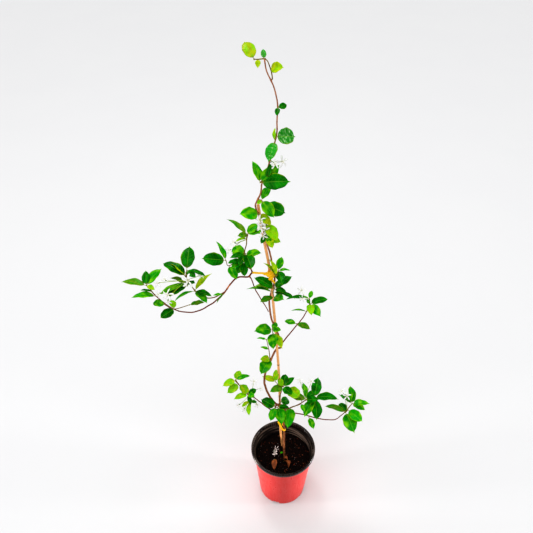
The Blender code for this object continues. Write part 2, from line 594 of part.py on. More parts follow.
def make_tie(name, height, cane, stem, stem_radius, collection):
    """A ribbon belt that runs round the cane and the stem beside it at one height."""
    centres = [place_at_height(course, height) for course in (cane, stem)]
    reaches = [CANE_RADIUS * MM + GAP, stem_radius + GAP]
    reaches = [reach + (TIE_RADIUS + TIE_SLACK) * MM for reach in reaches]
    across = centres[1] - centres[0]
    facing = math.atan2(across[1], across[0])
    belt = []
    for centre, reach, turn in zip(centres, reaches, (math.pi / 2, -math.pi / 2)):
        for i in range(TIE_TURN_POINTS):
            angle = facing + turn + math.pi * i / (TIE_TURN_POINTS - 1)
            belt.append(centre + reach * np.array((math.cos(angle), math.sin(angle), 0)))
    curve = tube_curve(name, np.array(belt), (TIE_RADIUS * MM, TIE_RADIUS * MM), 1, closed=True)
    add_object(name, curve, "tie", collection)


def place_at_height(course, height):
    """The point of a rising course at this height."""
    i = int(np.argmax(course[:, 2] > height))
    share = (height - course[i - 1, 2]) / (course[i, 2] - course[i - 1, 2])
    return course[i - 1] + share * (course[i] - course[i - 1])


def make_spray(name, spray, courses, collection, cutters):
    """A twig and its leaves as one body, seated beside its stem."""
    twig = [np.array(point) * MM for point in spray.twig]
    start = beside(courses[spray.parent], twig[0], twig[0], TWIG_RADIUS * MM)
    last = twig[-1] - (twig[-2] if len(twig) > 1 else start)
    end = twig[-1] + last / np.linalg.norm(last) * TWIG_OVERLAP * MM
    course = np.array([start, *twig[:-1], end])
    radii = (TWIG_RADIUS * MM, TWIG_RADIUS * MM)
    whole = add_object(name, tube_mesh(name, course, radii), spray.tone, collection)
    leaves = [
        leaf_mesh(f"{name}_{i}", Vector(twig[leaf.at]), leaf) for i, leaf in enumerate(spray.leaves)
    ]
    join_by_union(whole, leaves, cutters)


def make_cluster(name, cluster, courses, collection, cutters):
    """Flowers on their stalks as one body, seated beside their stem."""
    hub = np.array(cluster.hub) * MM
    radius = STALK_RADIUS * MM
    start = beside(courses[cluster.parent], hub, hub, radius)
    inward = hub - start
    end = hub + inward / np.linalg.norm(inward) * TWIG_OVERLAP * MM
    whole = add_object(name, tube_mesh(name, np.array([start, end]), (radius, radius)), "flower",
                       collection)
    pieces = []
    for i, (x, y, z, heading, lift, reach) in enumerate(cluster.flowers):
        centre = np.array((x, y, z)) * MM
        facing = np.array(frame_of(heading, lift, 0) @ Vector((1, 0, 0)))
        throat = centre - facing * FLOWER_TUBE * MM
        stalk = np.array([hub, throat, centre])
        pieces.append(tube_mesh(f"{name}_stalk_{i}", stalk, (radius, THROAT_FLARE * radius)))
        pieces.append(star_mesh(f"{name}_star_{i}", Vector(centre), heading, lift, reach))
    join_by_union(whole, pieces, cutters)


def build():
    """Clears the scene and makes every piece."""
    for old in list(bpy.data.objects):
        bpy.data.objects.remove(old, do_unlink=True)
    collection = bpy.data.collections.new("potted_star_jasmine")
    cutters = bpy.data.collections.new("cutters")
    for group in (collection, cutters):
        bpy.context.scene.collection.children.link(group)

    cane = smooth_course(CANE, 3 * STEP)
    cane_radii = (CANE_RADIUS * MM, CANE_RADIUS * MM)
    add_object("cane", tube_curve("cane", cane, cane_radii), "cane", collection)

    courses = {}
    for name, stem in STEMS.items():
        radii = (stem.thick * MM, stem.thin * MM)
        course = smooth_course(stem.course, STEP)
        if stem.parent in courses:
            course[0] = beside(courses[stem.parent], course[0], course[1], radii[0])
        else:
            course = clear_of_cane(course, cane, (CANE_RADIUS + CANE_CLEARANCE) * MM + radii[0])
        courses[name] = (course, radii)
        add_object(name, tube_curve(name, course, radii), "bark", collection)

    main_course, main_radii = courses["stem_main"]
    make_pot(collection, cutters)
    hole_top = SOIL_TOP + SOIL_HOLE_RISE
    make_soil(collection, cutters, (
        ("cane", cane[cane[:, 2] < hole_top], cane_radii),
        ("stem_main", main_course[main_course[:, 2] < hole_top], (main_radii[0], main_radii[0])),
    ))
    for name, height in TIE_HEIGHTS.items():
        make_tie(name, height * MM, cane, main_course, main_radii[0], collection)
    for name, spray in SPRAYS.items():
        make_spray(name, spray, courses, collection, cutters)
    for name, cluster in FLOWERS.items():
        make_cluster(name, cluster, courses, collection, cutters)

    fallen = star_mesh("fallen_flower", Vector(to_metres(FALLEN_FLOWER)), 0, FALLEN_LIFT, FALLEN_RADIUS)
    add_object("fallen_flower", fallen, "flower", collection)
    dry = leaf_mesh("dry_leaf", Vector(to_metres(DRY_LEAF_PLACE)), DRY_LEAF)
    add_object("dry_leaf", dry, "dry", collection)


build()
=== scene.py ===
"""Looks of the potted star jasmine: a climber on a bamboo cane in a nursery pot.

Every finished mesh is in metres, +Z up, round the middle of the pot's underside, with -Y as the
front. Tables are in millimetres and degrees: a heading of 0 points along +X and 90 along +Y, a lift
of 0 is level, and a roll turns a leaf about its own length, raising the side to the left of its heading.
"""

import json
import logging
import math
from dataclasses import dataclass, field, replace
from enum import Enum
from typing import Optional, Sequence

import bpy
import numpy as np
from mathutils import Matrix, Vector
from numpy.typing import NDArray

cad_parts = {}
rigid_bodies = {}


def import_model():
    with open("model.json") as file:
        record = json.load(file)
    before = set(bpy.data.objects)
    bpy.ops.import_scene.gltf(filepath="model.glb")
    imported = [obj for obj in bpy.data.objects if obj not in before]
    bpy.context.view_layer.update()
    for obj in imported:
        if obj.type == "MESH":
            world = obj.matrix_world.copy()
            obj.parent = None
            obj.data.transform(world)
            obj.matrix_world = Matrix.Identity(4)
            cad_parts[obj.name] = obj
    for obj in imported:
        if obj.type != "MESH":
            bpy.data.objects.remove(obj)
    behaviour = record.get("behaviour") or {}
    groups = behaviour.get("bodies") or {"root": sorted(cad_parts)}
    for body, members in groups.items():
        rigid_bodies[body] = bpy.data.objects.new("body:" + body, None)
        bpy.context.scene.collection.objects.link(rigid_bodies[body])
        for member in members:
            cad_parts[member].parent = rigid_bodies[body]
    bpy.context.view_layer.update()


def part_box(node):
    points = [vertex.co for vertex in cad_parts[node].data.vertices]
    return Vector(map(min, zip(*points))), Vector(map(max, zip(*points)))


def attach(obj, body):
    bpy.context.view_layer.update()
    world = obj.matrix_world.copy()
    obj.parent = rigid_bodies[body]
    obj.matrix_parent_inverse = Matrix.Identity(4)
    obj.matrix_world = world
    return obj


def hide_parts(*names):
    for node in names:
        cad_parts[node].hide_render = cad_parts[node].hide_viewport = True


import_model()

CAD_NODES = {piece.name for piece in bpy.data.objects}
MM = 0.001
NO_CORNER = -1
VEIN_PAIRS = 8.0
VEIN_SLANT = 1.3

Array = NDArray[np.float64]
Colour = tuple[float, float, float]
Point = tuple[float, float, float]

logging.basicConfig(level=logging.INFO, format="%(message)s")
log = logging.getLogger("star_jasmine")


class Tone(Enum):
    """Leaf colours, from old shaded leaves to fresh shoots, in linear light."""

    DARK = (0.001, 0.150, 0.001)
    GREEN = (0.008, 0.310, 0.002)
    LIME = (0.230, 0.580, 0.004)
    YELLOW = (0.460, 0.545, 0.005)
    OLIVE = (0.130, 0.260, 0.010)
    # A green leaf with small pale patches of painted glare, and the colour of that glare.
    GREEN_WITH_PAINTED_GLARE = (0.020, 0.300, 0.020)
    PAINTED_GLARE = (0.600, 0.820, 0.480)
    DEAD = (0.190, 0.060, 0.030)
    RUST = (0.420, 0.130, 0.045)


DARK, GREEN, LIME, YELLOW, OLIVE, GREEN_WITH_PAINTED_GLARE, PAINTED_GLARE, DEAD, RUST = Tone
NEXT_TONE = {DARK: GREEN, GREEN: LIME, LIME: YELLOW, YELLOW: LIME, OLIVE: GREEN, GREEN_WITH_PAINTED_GLARE: PAINTED_GLARE,
             DEAD: RUST, RUST: DEAD}


class Bark(Enum):
    """Stem colours, from woody base to green shoot, in linear light."""

    WOODY = (0.300, 0.120, 0.050)
    MAROON = (0.230, 0.060, 0.032)
    PURPLE = (0.260, 0.085, 0.055)
    ORANGE = (0.640, 0.180, 0.030)
    YOUNG = (0.280, 0.260, 0.040)
    TAN = (0.480, 0.230, 0.140)


@dataclass(frozen=True)
class Stem:
    """A shoot: what it leaves, its radius and bark at both ends, its course and its orange joints."""

    parent: Optional[str]
    thick: float
    thin: float
    lower: Bark
    upper: Bark
    course: tuple[Point, ...]
    joints: tuple[Point, ...] = ()


@dataclass(frozen=True)
class Leaf:
    """A leaf: the point of its twig it grows from, where it points, its size and its tone."""

    at: int
    heading: float
    lift: float
    roll: float
    length: float
    width: float
    tone: Tone


@dataclass(frozen=True)
class Spray:
    """A few leaves on one short twig."""

    parent: str
    twig: tuple[Point, ...]
    leaves: tuple[Leaf, ...]


@dataclass(frozen=True)
class Bloom:
    """An open flower: the middle of its face, where it looks, and its radius."""

    x: float
    y: float
    z: float
    heading: float
    lift: float
    radius: float


@dataclass(frozen=True)
class Cluster:
    """Open flowers whose stalks part at the end of one short stalk, the hub."""

    parent: str
    hub: Point
    blooms: tuple[Bloom, ...]


CANE_COURSE: tuple[Point, ...] = (
    (1, 37, 34), (-2, 31, 134), (-8, 25, 238), (-12, 18, 383), (-16, 13, 478), (-20, 10, 541),
    (-27, 6, 649), (-37, 1, 771), (-49, -2, 855), (-58, -4, 926))

STEMS: dict[str, Stem] = {
    "stem_main": Stem(None, 3.0, 1.0, Bark.WOODY, Bark.TAN, (
        (4, -10, 110), (4, -10, 137), (2, 0, 177), (2, 8, 215), (1, 13, 262), (2, 14, 303), (-4, 8, 336),
        (-18, 0, 350), (-32, -6, 381), (-43, -8, 415), (-48, -9, 448), (-45, -8, 477), (-35, -2, 507),
        (-22, 22, 519), (-11, 17, 533), (-12, 12, 555), (-17, 3, 585), (-25, -3, 616), (-33, -2, 642),
        (-36, 4, 663), (-37, 10, 683), (-31, 11, 711), (-27, 5, 739), (-29, 1, 768), (-33, -1, 795),
        (-38, -5, 824), (-44, -9, 851), (-49, -10, 883), (-56, -11, 908), (-62, -9, 922), (-60, -4, 933),
        (-54, 4, 943), (-52, 6, 955), (-51, 4, 965), (-44, 2, 986), (-37, 0, 1014), (-30, 0, 1044),
        (-26, 2, 1063), (-26, 4, 1085), (-25, 6, 1107), (-27, 6, 1122), (-31, 4, 1139), (-36, 2, 1152),
        (-41, 0, 1163), (-44, -2, 1173), (-46, 0, 1186))),
    "stem_left_arch": Stem("stem_main", 1.6, 1.0, Bark.MAROON, Bark.PURPLE, (
        (-30, -5, 768), (-39, -10, 770), (-52, -12, 773), (-70, -14, 776), (-78, -16, 768), (-94, -18, 769),
        (-104, -20, 765), (-113, -22, 754), (-125, -24, 735), (-145, -26, 712), (-161, -28, 700),
        (-179, -30, 690), (-196, -30, 686), (-219, -32, 692), (-240, -32, 708), (-257, -30, 728),
        (-264, -28, 736), (-272, -26, 751)), ((-117, -23, 747),)),
    "stem_left_riser": Stem("stem_left_arch", 1.1, 0.9, Bark.PURPLE, Bark.YOUNG, (
        (-126, -26, 736), (-144, -32, 729), (-159, -32, 727), (-174, -30, 736), (-182, -28, 743),
        (-194, -18, 757), (-198, -11, 767), (-199, -8, 773))),
    "stem_middle_left": Stem("stem_left_arch", 1.2, 0.9, Bark.PURPLE, Bark.YOUNG, (
        (-71, -9, 780), (-80, -7, 786), (-85, -4, 799), (-85, 0, 816), (-81, 2, 831), (-80, 2, 845),
        (-78, 0, 856))),
    "stem_diagonal": Stem("stem_left_arch", 1.1, 0.9, Bark.PURPLE, Bark.PURPLE, (
        (-73, -13, 762), (-66, -7, 730), (-59, -3, 708), (-51, 0, 687), (-43, 2, 668), (-39, 1, 658))),
    "stem_upper_right": Stem("stem_main", 1.4, 0.9, Bark.MAROON, Bark.PURPLE, (
        (-11, 12, 546), (-5, 11, 560), (6, 14, 577), (20, 18, 597), (31, 21, 613), (40, 24, 631),
        (47, 26, 652), (47, 26, 670))),
    "stem_lower_crown": Stem("stem_main", 1.5, 0.9, Bark.WOODY, Bark.YOUNG, (
        (-10, 3, 352), (-12, 4, 372), (-8, 4, 396), (-7, 4, 418))),
    "stem_lower_left": Stem("stem_main", 1.4, 0.9, Bark.MAROON, Bark.PURPLE, (
        (-22, -8, 347), (-33, -20, 358), (-56, -27, 393), (-74, -29, 418), (-88, -29, 431),
        (-104, -28, 457), (-112, -26, 468))),
    "stem_lower_right": Stem("stem_main", 1.4, 0.9, Bark.MAROON, Bark.PURPLE, (
        (3, 0, 332), (15, -10, 352), (35, -12, 368), (49, -12, 383), (64, -10, 387))),
    "stem_long_right": Stem("stem_main", 1.4, 0.9, Bark.MAROON, Bark.PURPLE, (
        (6, 4, 313), (27, -12, 333), (50, -24, 342), (74, -32, 341), (97, -40, 346), (117, -46, 355),
        (128, -48, 371), (138, -48, 387), (148, -46, 407))),
}

SPRAYS: dict[str, Spray] = {
    "leaves_tip": Spray("stem_main", ((-47, 2, 1186), (-56, 5, 1184), (-62, 8, 1183)), (
        Leaf(2, 115, 25, -20, 37, 19, YELLOW), Leaf(1, -90, -35, 0, 15, 8, YELLOW),
        Leaf(0, 95, 45, 0, 15, 8, GREEN_WITH_PAINTED_GLARE))),
    "leaves_tip_side": Spray("stem_main", ((-34, 7, 1153), (-35, 11, 1160), (-37, 12, 1167),
        (-41, 9, 1179), (-45, 4, 1185)), (
        Leaf(2, -45, 20, 65, 29, 16, YELLOW),)),
    "leaves_leader_high": Spray("stem_main", ((-25, 1, 1108),), (
        Leaf(0, 40, -5, 50, 19, 10, DARK), Leaf(0, -95, -25, 0, 16, 8, DARK))),
    "leaves_leader_round": Spray("stem_main", ((-28, -4, 1059), (-29, -5, 1052)), (
        Leaf(0, 5, 0, 50, 31, 26, GREEN_WITH_PAINTED_GLARE), Leaf(1, -110, -35, -5, 37, 19, GREEN_WITH_PAINTED_GLARE),
        Leaf(1, 90, 50, -50, 22, 8, LIME))),
    "leaves_leader_middle": Spray("stem_main", ((-54, -11, 976), (-42, -9, 984)), (
        Leaf(0, 115, 40, 15, 40, 16, GREEN), Leaf(0, -10, 10, 45, 51, 27, DARK),
        Leaf(0, 20, 38, 55, 43, 23, GREEN), Leaf(1, 10, 76, 60, 33, 9, DARK))),
    "leaves_leader_low": Spray("stem_main", ((-52, -5, 936), (-47, -3, 926)), (
        Leaf(0, 50, 35, 0, 30, 15, GREEN), Leaf(0, -120, 0, -25, 14, 7, LIME),
        Leaf(0, -50, -25, 20, 38, 20, GREEN), Leaf(1, 15, -35, 55, 47, 25, DARK))),
    "leaves_cane_top": Spray("stem_main", ((-56, -16, 915),), (
        Leaf(0, -145, 20, -50, 41, 22, GREEN), Leaf(0, -40, -25, 25, 29, 15, YELLOW))),
    "leaves_cane_upper": Spray("stem_main", ((-44, -16, 894), (-43, -17, 870), (-35, -18, 861)), (
        Leaf(0, -55, -30, 15, 38, 20, LIME), Leaf(1, -60, -35, 10, 27, 14, YELLOW),
        Leaf(2, -40, 10, 40, 23, 12, LIME), Leaf(1, -125, -35, -5, 19, 10, DARK),
        Leaf(1, -65, -35, 5, 17, 9, GREEN))),
    "leaves_left_crown": Spray("stem_middle_left", ((-79, -3, 860), (-80, -6, 853)), (
        Leaf(0, 145, 20, 10, 48, 17, OLIVE), Leaf(0, 45, 20, 25, 29, 15, GREEN),
        Leaf(0, 20, 0, 10, 30, 15, GREEN), Leaf(0, -140, 15, -40, 22, 11, OLIVE),
        Leaf(1, -150, 5, 0, 24, 7, LIME))),
    "leaves_left_heart": Spray("stem_middle_left", ((-83, -7, 817),), (
        Leaf(0, 135, -15, -35, 40, 22, GREEN), Leaf(0, -10, 10, 15, 30, 16, GREEN),
        Leaf(0, -70, -5, 0, 40, 22, DARK), Leaf(0, -160, 0, -10, 30, 12, DARK),
        Leaf(0, -110, -10, -10, 29, 15, DARK))),
    "leaves_left_fan": Spray("stem_middle_left", ((-88, -14, 804),), (
        Leaf(0, -165, 5, -5, 28, 14, DARK), Leaf(0, -150, -10, -20, 25, 13, GREEN),
        Leaf(0, -115, -25, -10, 26, 14, DARK), Leaf(0, -80, -30, 0, 29, 15, DARK))),
    "leaves_left_tail": Spray("stem_middle_left", ((-94, 4, 795), (-116, 0, 782), (-121, -2, 797)), (
        Leaf(2, 120, 30, 25, 43, 14, GREEN), Leaf(2, -165, 15, -40, 45, 24, DARK),
        Leaf(1, -60, -20, 10, 32, 17, GREEN))),
    "leaves_arch_inner": Spray("stem_left_arch", ((-127, -30, 735),), (
        Leaf(0, -165, 5, 5, 20, 7, GREEN), Leaf(0, -130, -25, 25, 22, 7, OLIVE))),
    "leaves_arch_upper": Spray("stem_left_riser", ((-182, -33, 746),), (
        Leaf(0, 45, 20, -10, 48, 16, YELLOW), Leaf(0, -40, -20, -5, 34, 17, GREEN),
        Leaf(0, -20, -5, -5, 35, 14, DARK), Leaf(0, -155, -10, 25, 42, 14, GREEN))),
    "leaves_arch_middle": Spray("stem_left_riser", ((-196, -20, 754), (-196, -23, 751)), (
        Leaf(1, -157, -17, 0, 44, 22, DARK), Leaf(0, -165, -15, 5, 60, 19, GREEN),
        Leaf(0, 160, 5, 5, 38, 15, OLIVE), Leaf(0, -45, 35, 20, 28, 14, DARK))),
    "leaves_arch_top": Spray("stem_left_riser", ((-199, -18, 770), (-196, -14, 782)), (
        Leaf(1, 85, 30, 0, 49, 26, DARK), Leaf(0, 150, 15, 5, 51, 25, DARK),
        Leaf(0, 140, 20, 30, 42, 15, YELLOW), Leaf(1, -40, -10, 20, 24, 13, DARK),
        Leaf(1, -20, -5, -5, 38, 13, DARK))),
    "leaves_arch_under": Spray("stem_left_arch", ((-241, -40, 716), (-225, -37, 702),
        (-194, -38, 714)), (
        Leaf(1, -130, 0, -25, 34, 18, DARK), Leaf(1, 110, 5, 0, 25, 13, LIME),
        Leaf(2, -5, 15, 0, 30, 13, OLIVE), Leaf(0, 168, 0, -25, 25, 15, GREEN))),
    "leaves_arch_outer": Spray("stem_left_arch", ((-257, -37, 736), (-264, -36, 747)), (
        Leaf(0, -170, 10, 0, 45, 15, GREEN), Leaf(1, 165, -5, 20, 24, 9, DARK))),
    "leaves_arch_tip": Spray("stem_left_arch", ((-275, -26, 754),), (
        Leaf(0, 165, 0, 0, 52, 18, OLIVE), Leaf(0, 100, 30, 0, 30, 15, DARK),
        Leaf(0, 50, 25, 5, 43, 21, GREEN), Leaf(0, -25, -10, 15, 19, 10, LIME))),
    "leaves_right_small": Spray("stem_main", ((-24, -25, 777), (-20, -1, 771)), (
        Leaf(1, 75, 35, 0, 28, 14, GREEN), Leaf(1, -10, 10, 0, 24, 9, GREEN),
        Leaf(1, -80, -5, 0, 36, 19, DARK), Leaf(0, 120, 45, 30, 34, 15, YELLOW),
        Leaf(0, 145, 35, 20, 35, 12, YELLOW))),
    "leaves_right_pair": Spray("stem_main", ((-28, -15, 735), (-30, -13, 725), (-28, -12, 711)), (
        Leaf(0, 35, 15, -5, 45, 22, DARK), Leaf(0, 155, 20, -5, 44, 23, DARK),
        Leaf(0, 165, 0, 5, 39, 16, LIME), Leaf(1, -175, 15, 20, 53, 18, GREEN),
        Leaf(2, -155, -5, -5, 29, 14, OLIVE), Leaf(2, -60, 30, 35, 37, 20, GREEN),
        Leaf(1, -20, 0, -10, 45, 16, DARK), Leaf(0, -20, 0, 0, 25, 13, DARK))),
    "leaves_upper_right_pair": Spray("stem_upper_right", ((21, 12, 611),), (
        Leaf(0, 160, 0, -10, 26, 13, GREEN), Leaf(0, -25, -5, 5, 31, 16, OLIVE))),
    "leaves_upper_right_fan": Spray("stem_upper_right", ((42, 18, 642), (48, 20, 662)), (
        Leaf(1, 20, 0, 0, 40, 18, DARK), Leaf(1, 150, 55, -65, 13, 7, GREEN),
        Leaf(1, -50, -20, 20, 34, 18, GREEN), Leaf(1, -90, -5, 0, 30, 16, LIME),
        Leaf(0, -175, 10, 25, 34, 12, GREEN))),
    "leaves_upper_right_tip": Spray("stem_upper_right", ((46, 22, 675),), (
        Leaf(0, -170, 10, 20, 49, 16, DARK), Leaf(0, 65, 30, 0, 18, 9, GREEN),
        Leaf(0, 160, 0, 20, 25, 9, GREEN))),
    "leaves_cane_node": Spray("stem_main", ((-31, -14, 622), (-30, -16, 613)), (
        Leaf(0, -150, 20, -35, 43, 23, GREEN), Leaf(0, 45, 30, 5, 16, 12, GREEN),
        Leaf(0, -35, 20, 35, 22, 12, GREEN), Leaf(1, -90, -5, 0, 41, 21, GREEN),
        Leaf(1, -55, -25, -15, 38, 19, YELLOW))),
    "leaves_loop": Spray("stem_main", ((-35, -8, 522), (-38, -10, 555), (-43, -10, 586)), (
        Leaf(0, -115, 0, -5, 45, 24, GREEN), Leaf(0, -150, 30, -35, 28, 15, YELLOW),
        Leaf(1, 160, 0, 0, 20, 8, GREEN), Leaf(2, 165, -5, 5, 22, 7, GREEN))),
    "leaves_low_left_tip": Spray("stem_lower_left", ((-112, -27, 474), (-105, -30, 463)), (
        Leaf(0, 70, -5, 5, 30, 16, LIME), Leaf(0, 20, 0, 0, 34, 14, GREEN),
        Leaf(0, -150, -5, -15, 31, 16, LIME), Leaf(1, -140, -10, -20, 32, 17, LIME))),
    "leaves_low_left_middle": Spray("stem_lower_left", ((-85, -42, 441), (-79, -37, 412)), (
        Leaf(0, 132, 30, 0, 28, 20, LIME), Leaf(0, 40, 0, 20, 24, 13, DARK),
        Leaf(0, -40, 25, 25, 22, 12, GREEN), Leaf(0, -160, 0, 5, 32, 15, LIME),
        Leaf(0, -75, -25, -30, 24, 12, DARK), Leaf(1, -145, -10, 15, 24, 10, YELLOW),
        Leaf(1, -95, -25, 45, 32, 14, LIME), Leaf(1, -20, 5, 25, 15, 7, DARK))),
    "leaves_low_crown": Spray("stem_lower_crown", ((-4, -1, 418), (-13, -3, 425), (-22, -3, 438)), (
        Leaf(0, 80, 10, 0, 34, 18, DARK), Leaf(0, 40, 10, 0, 35, 17, DARK),
        Leaf(0, -150, 5, -20, 34, 18, OLIVE), Leaf(0, -60, 15, 15, 36, 19, DARK),
        Leaf(2, 155, 5, 5, 33, 17, YELLOW), Leaf(2, 90, 25, 0, 29, 13, LIME),
        Leaf(0, 142, 45, -5, 22, 16, LIME))),
    "leaves_low_heart": Spray("stem_main", ((-22, -28, 378), (-16, -17, 364), (-11, -14, 378)), (
        Leaf(0, 155, 10, -10, 37, 25, DARK), Leaf(2, 45, -35, 35, 39, 20, DARK),
        Leaf(0, -110, -15, 0, 34, 18, GREEN), Leaf(1, -80, 0, 0, 50, 26, GREEN),
        Leaf(1, -10, 10, 10, 27, 13, DARK))),
    "leaves_low_right_inner": Spray("stem_lower_right", ((15, -15, 360), (37, -27, 389),
        (37, -25, 410)), (
        Leaf(0, -100, -10, 0, 51, 26, GREEN), Leaf(2, 135, -15, -20, 50, 26, LIME),
        Leaf(1, -65, -20, 0, 21, 11, GREEN))),
    "leaves_low_right_middle": Spray("stem_lower_right", ((49, -17, 391),), (
        Leaf(0, 160, -5, -5, 36, 18, OLIVE), Leaf(0, 100, 25, 40, 41, 16, GREEN),
        Leaf(0, 45, 10, 10, 32, 16, DARK), Leaf(0, -20, 25, 30, 32, 17, DARK))),
    "leaves_low_right_tip": Spray("stem_lower_right", ((69, -12, 392),), (
        Leaf(0, 75, 25, 0, 48, 23, DARK), Leaf(0, -10, 10, -5, 54, 26, DARK),
        Leaf(0, -85, -25, -15, 50, 25, DARK), Leaf(0, -120, -20, 20, 49, 24, GREEN))),
    "leaves_long_right_hanging": Spray("stem_long_right", ((57, -33, 346),), (
        Leaf(0, -70, -20, 0, 29, 15, GREEN),)),
    "leaves_long_right_low": Spray("stem_long_right", ((137, -55, 393), (142, -55, 403)), (
        Leaf(1, -55, 10, 20, 44, 23, GREEN), Leaf(0, -75, 5, 5, 55, 30, GREEN),
        Leaf(0, 155, 0, 15, 48, 19, OLIVE), Leaf(0, 105, -10, -5, 33, 18, DARK))),
    "leaves_long_right_tip": Spray("stem_long_right", ((151, -46, 414),), (
        Leaf(0, 90, 25, 25, 40, 20, GREEN), Leaf(0, 75, 20, -45, 31, 12, DARK),
        Leaf(0, -10, 10, 0, 39, 19, GREEN), Leaf(0, -30, -5, 5, 31, 15, GREEN),
        Leaf(0, 140, 10, 10, 35, 17, DARK))),
}

FLOWERS: dict[str, Cluster] = {
    "flowers_leader": Cluster("stem_main", (-30, -6, 1012), (
        Bloom(-16, -10, 1016, -60, 20, 11), Bloom(-29, -14, 1014, -110, 50, 9))),
    "flowers_cane": Cluster("stem_main", (-50, -18, 889), (
        Bloom(-54, -28, 910, -100, 40, 10), Bloom(-47, -28, 905, -60, 20, 9),
        Bloom(-53, -33, 897, -120, 25, 10), Bloom(-45, -30, 889, -70, 10, 9),
        Bloom(-49, -30, 876, -100, 0, 9), Bloom(-50, -22, 898, -90, 50, 9),
        Bloom(-49, -26, 888, -90, 20, 9))),
    "flowers_left": Cluster("stem_middle_left", (-88, -4, 845), (
        Bloom(-104, -10, 848, -140, 50, 9), Bloom(-113, -18, 835, -120, 20, 9))),
    "flowers_arch": Cluster("stem_left_riser", (-197, -34, 772), (
        Bloom(-191, -40, 778, -90, 45, 14), Bloom(-231, -51, 753, -110, 50, 12),
        Bloom(-169, -14, 769, -60, 40, 7), Bloom(-249, -44, 776, -120, 30, 10),
        Bloom(-250, -48, 752, -130, 20, 9), Bloom(-231, -56, 739, -80, 10, 8),
        Bloom(-239, -22, 767, -120, 60, 8))),
    "flowers_upper_right": Cluster("stem_upper_right", (37, 35, 663), (
        Bloom(29, 24, 697, -110, 50, 10), Bloom(30, 12, 685, -120, 30, 8))),
    "flowers_low_left": Cluster("stem_lower_left", (-78, -22, 418), (
        Bloom(-64, -44, 405, -70, 10, 9), Bloom(-95, -46, 391, -110, 20, 9),
        Bloom(-109, -40, 400, -140, 10, 8), Bloom(-71, -22, 463, -90, 50, 9),
        Bloom(-56, -20, 435, -40, 40, 7))),
    "flowers_long_right": Cluster("stem_long_right", (139, -55, 404), (
        Bloom(135, -54, 452, -110, 55, 10), Bloom(123, -50, 464, -140, 50, 9))),
    "flowers_low_right": Cluster("stem_lower_right", (47, -14, 388), (
        Bloom(33, -6, 447, -100, 50, 8), Bloom(57, -20, 460, -110, 40, 9))),
}


@dataclass
class Skin:
    """A closed surface, and what its points and faces carry.

    The points are (n, 3) in metres. The faces are (m, 4), with NO_CORNER as the last corner of a
    three-cornered one. Each point has a linear colour and a place on the piece's own chart, and each
    face the number of the finish it takes.
    """

    points: Array
    faces: NDArray[np.int64]
    tint: Array
    chart: Array
    finish: NDArray[np.int64]

    @staticmethod
    def stacked(skins: Sequence["Skin"]) -> "Skin":
        """Joins skins into one.

        Args:
            skins: The skins, in order.

        Returns:
            One skin, with the faces of each counted on from the points before it.
        """
        starts = np.cumsum([0, *(len(skin.points) for skin in skins[:-1])])
        faces = [np.where(skin.faces == NO_CORNER, NO_CORNER, skin.faces + start)
                 for skin, start in zip(skins, starts)]
        return Skin(np.vstack([skin.points for skin in skins]), np.vstack(faces),
                    np.vstack([skin.tint for skin in skins]), np.vstack([skin.chart for skin in skins]),
                    np.concatenate([skin.finish for skin in skins]))

    def moved(self, turn: Array, place: Array) -> "Skin":
        """The skin turned by a 3 by 3 matrix and then moved."""
        return Skin(self.points @ turn.T + place, self.faces, self.tint, self.chart, self.finish)


def unit(vectors: Array) -> Array:
    """The vectors scaled to length 1."""
    return vectors / np.linalg.norm(vectors, axis=-1, keepdims=True)


def turn_about(axis: int, degrees: float) -> Array:
    """A right-handed turn: the angle's cosine on the diagonal, and its sine, of both signs, off it.

    Args:
        axis: 0 for a turn about X, 1 about Y and 2 about Z.
        degrees: How far it turns.

    Returns:
        The 3 by 3 matrix.
    """
    angle = math.radians(degrees)
    first, second = (axis + 1) % 3, (axis + 2) % 3
    turn = np.eye(3)
    turn[first, first] = turn[second, second] = math.cos(angle)
    turn[second, first] = math.sin(angle)
    turn[first, second] = -math.sin(angle)
    return turn


def frame_of(heading: float, lift: float, roll: float = 0.0) -> Array:
    """The matrix whose columns run along a leaf, across it, and out of its upper face."""
    return turn_about(2, heading) @ turn_about(1, -lift) @ turn_about(0, roll)


def smooth_course(points: Sequence[Point], step: float) -> Array:
    """A Catmull-Rom curve through the points.

    Between two points p and q, with b before and a after, it is half of
    2p + (q - b)t + (2b - 5p + 4q - a)t^2 + (3p - b - 3q + a)t^3.

    Args:
        points: The places it runs through, in millimetres.
        step: About how far apart the points of the result are, in millimetres.

    Returns:
        The curve's points, (n, 3), in metres.
    """
    course = np.array(points, float) * MM
    ends = np.vstack([2 * course[0] - course[1], course, 2 * course[-1] - course[-2]])
    spans = []
    for b, p, q, a in zip(ends, ends[1:], ends[2:], ends[3:]):
        count = max(1, round(float(np.linalg.norm(q - p)) / (step * MM)))
        t = np.arange(count)[:, None] / count
        spans.append(0.5 * (2 * p + (q - b) * t + (2 * b - 5 * p + 4 * q - a) * t ** 2
                            + (3 * p - b - 3 * q + a) * t ** 3))
    return np.vstack([*spans, course[-1:]])


def nearest_index(course: Array, place: Array) -> int:
    """The number of the course point that is nearest to a place."""
    return int(np.argmin(np.linalg.norm(course - place, axis=1)))


def clear_of(course: Array, post: Array, distance: float) -> Array:
    """Moves each point of a course that is too near to a post straight out from it.

    The offset from the post's nearest point is multiplied by the distance over its length, but never
    by less than 1.

    Args:
        course: (n, 3) points.
        post: (m, 3) points of the post's middle line.
        distance: How far the course stays from that line.

    Returns:
        The moved course.
    """
    near = post[np.argmin(np.linalg.norm(course[:, None] - post[None], axis=2), axis=1)]
    away = course - near
    length = np.linalg.norm(away, axis=1, keepdims=True)
    return near + away * np.maximum(1.0, distance / length)


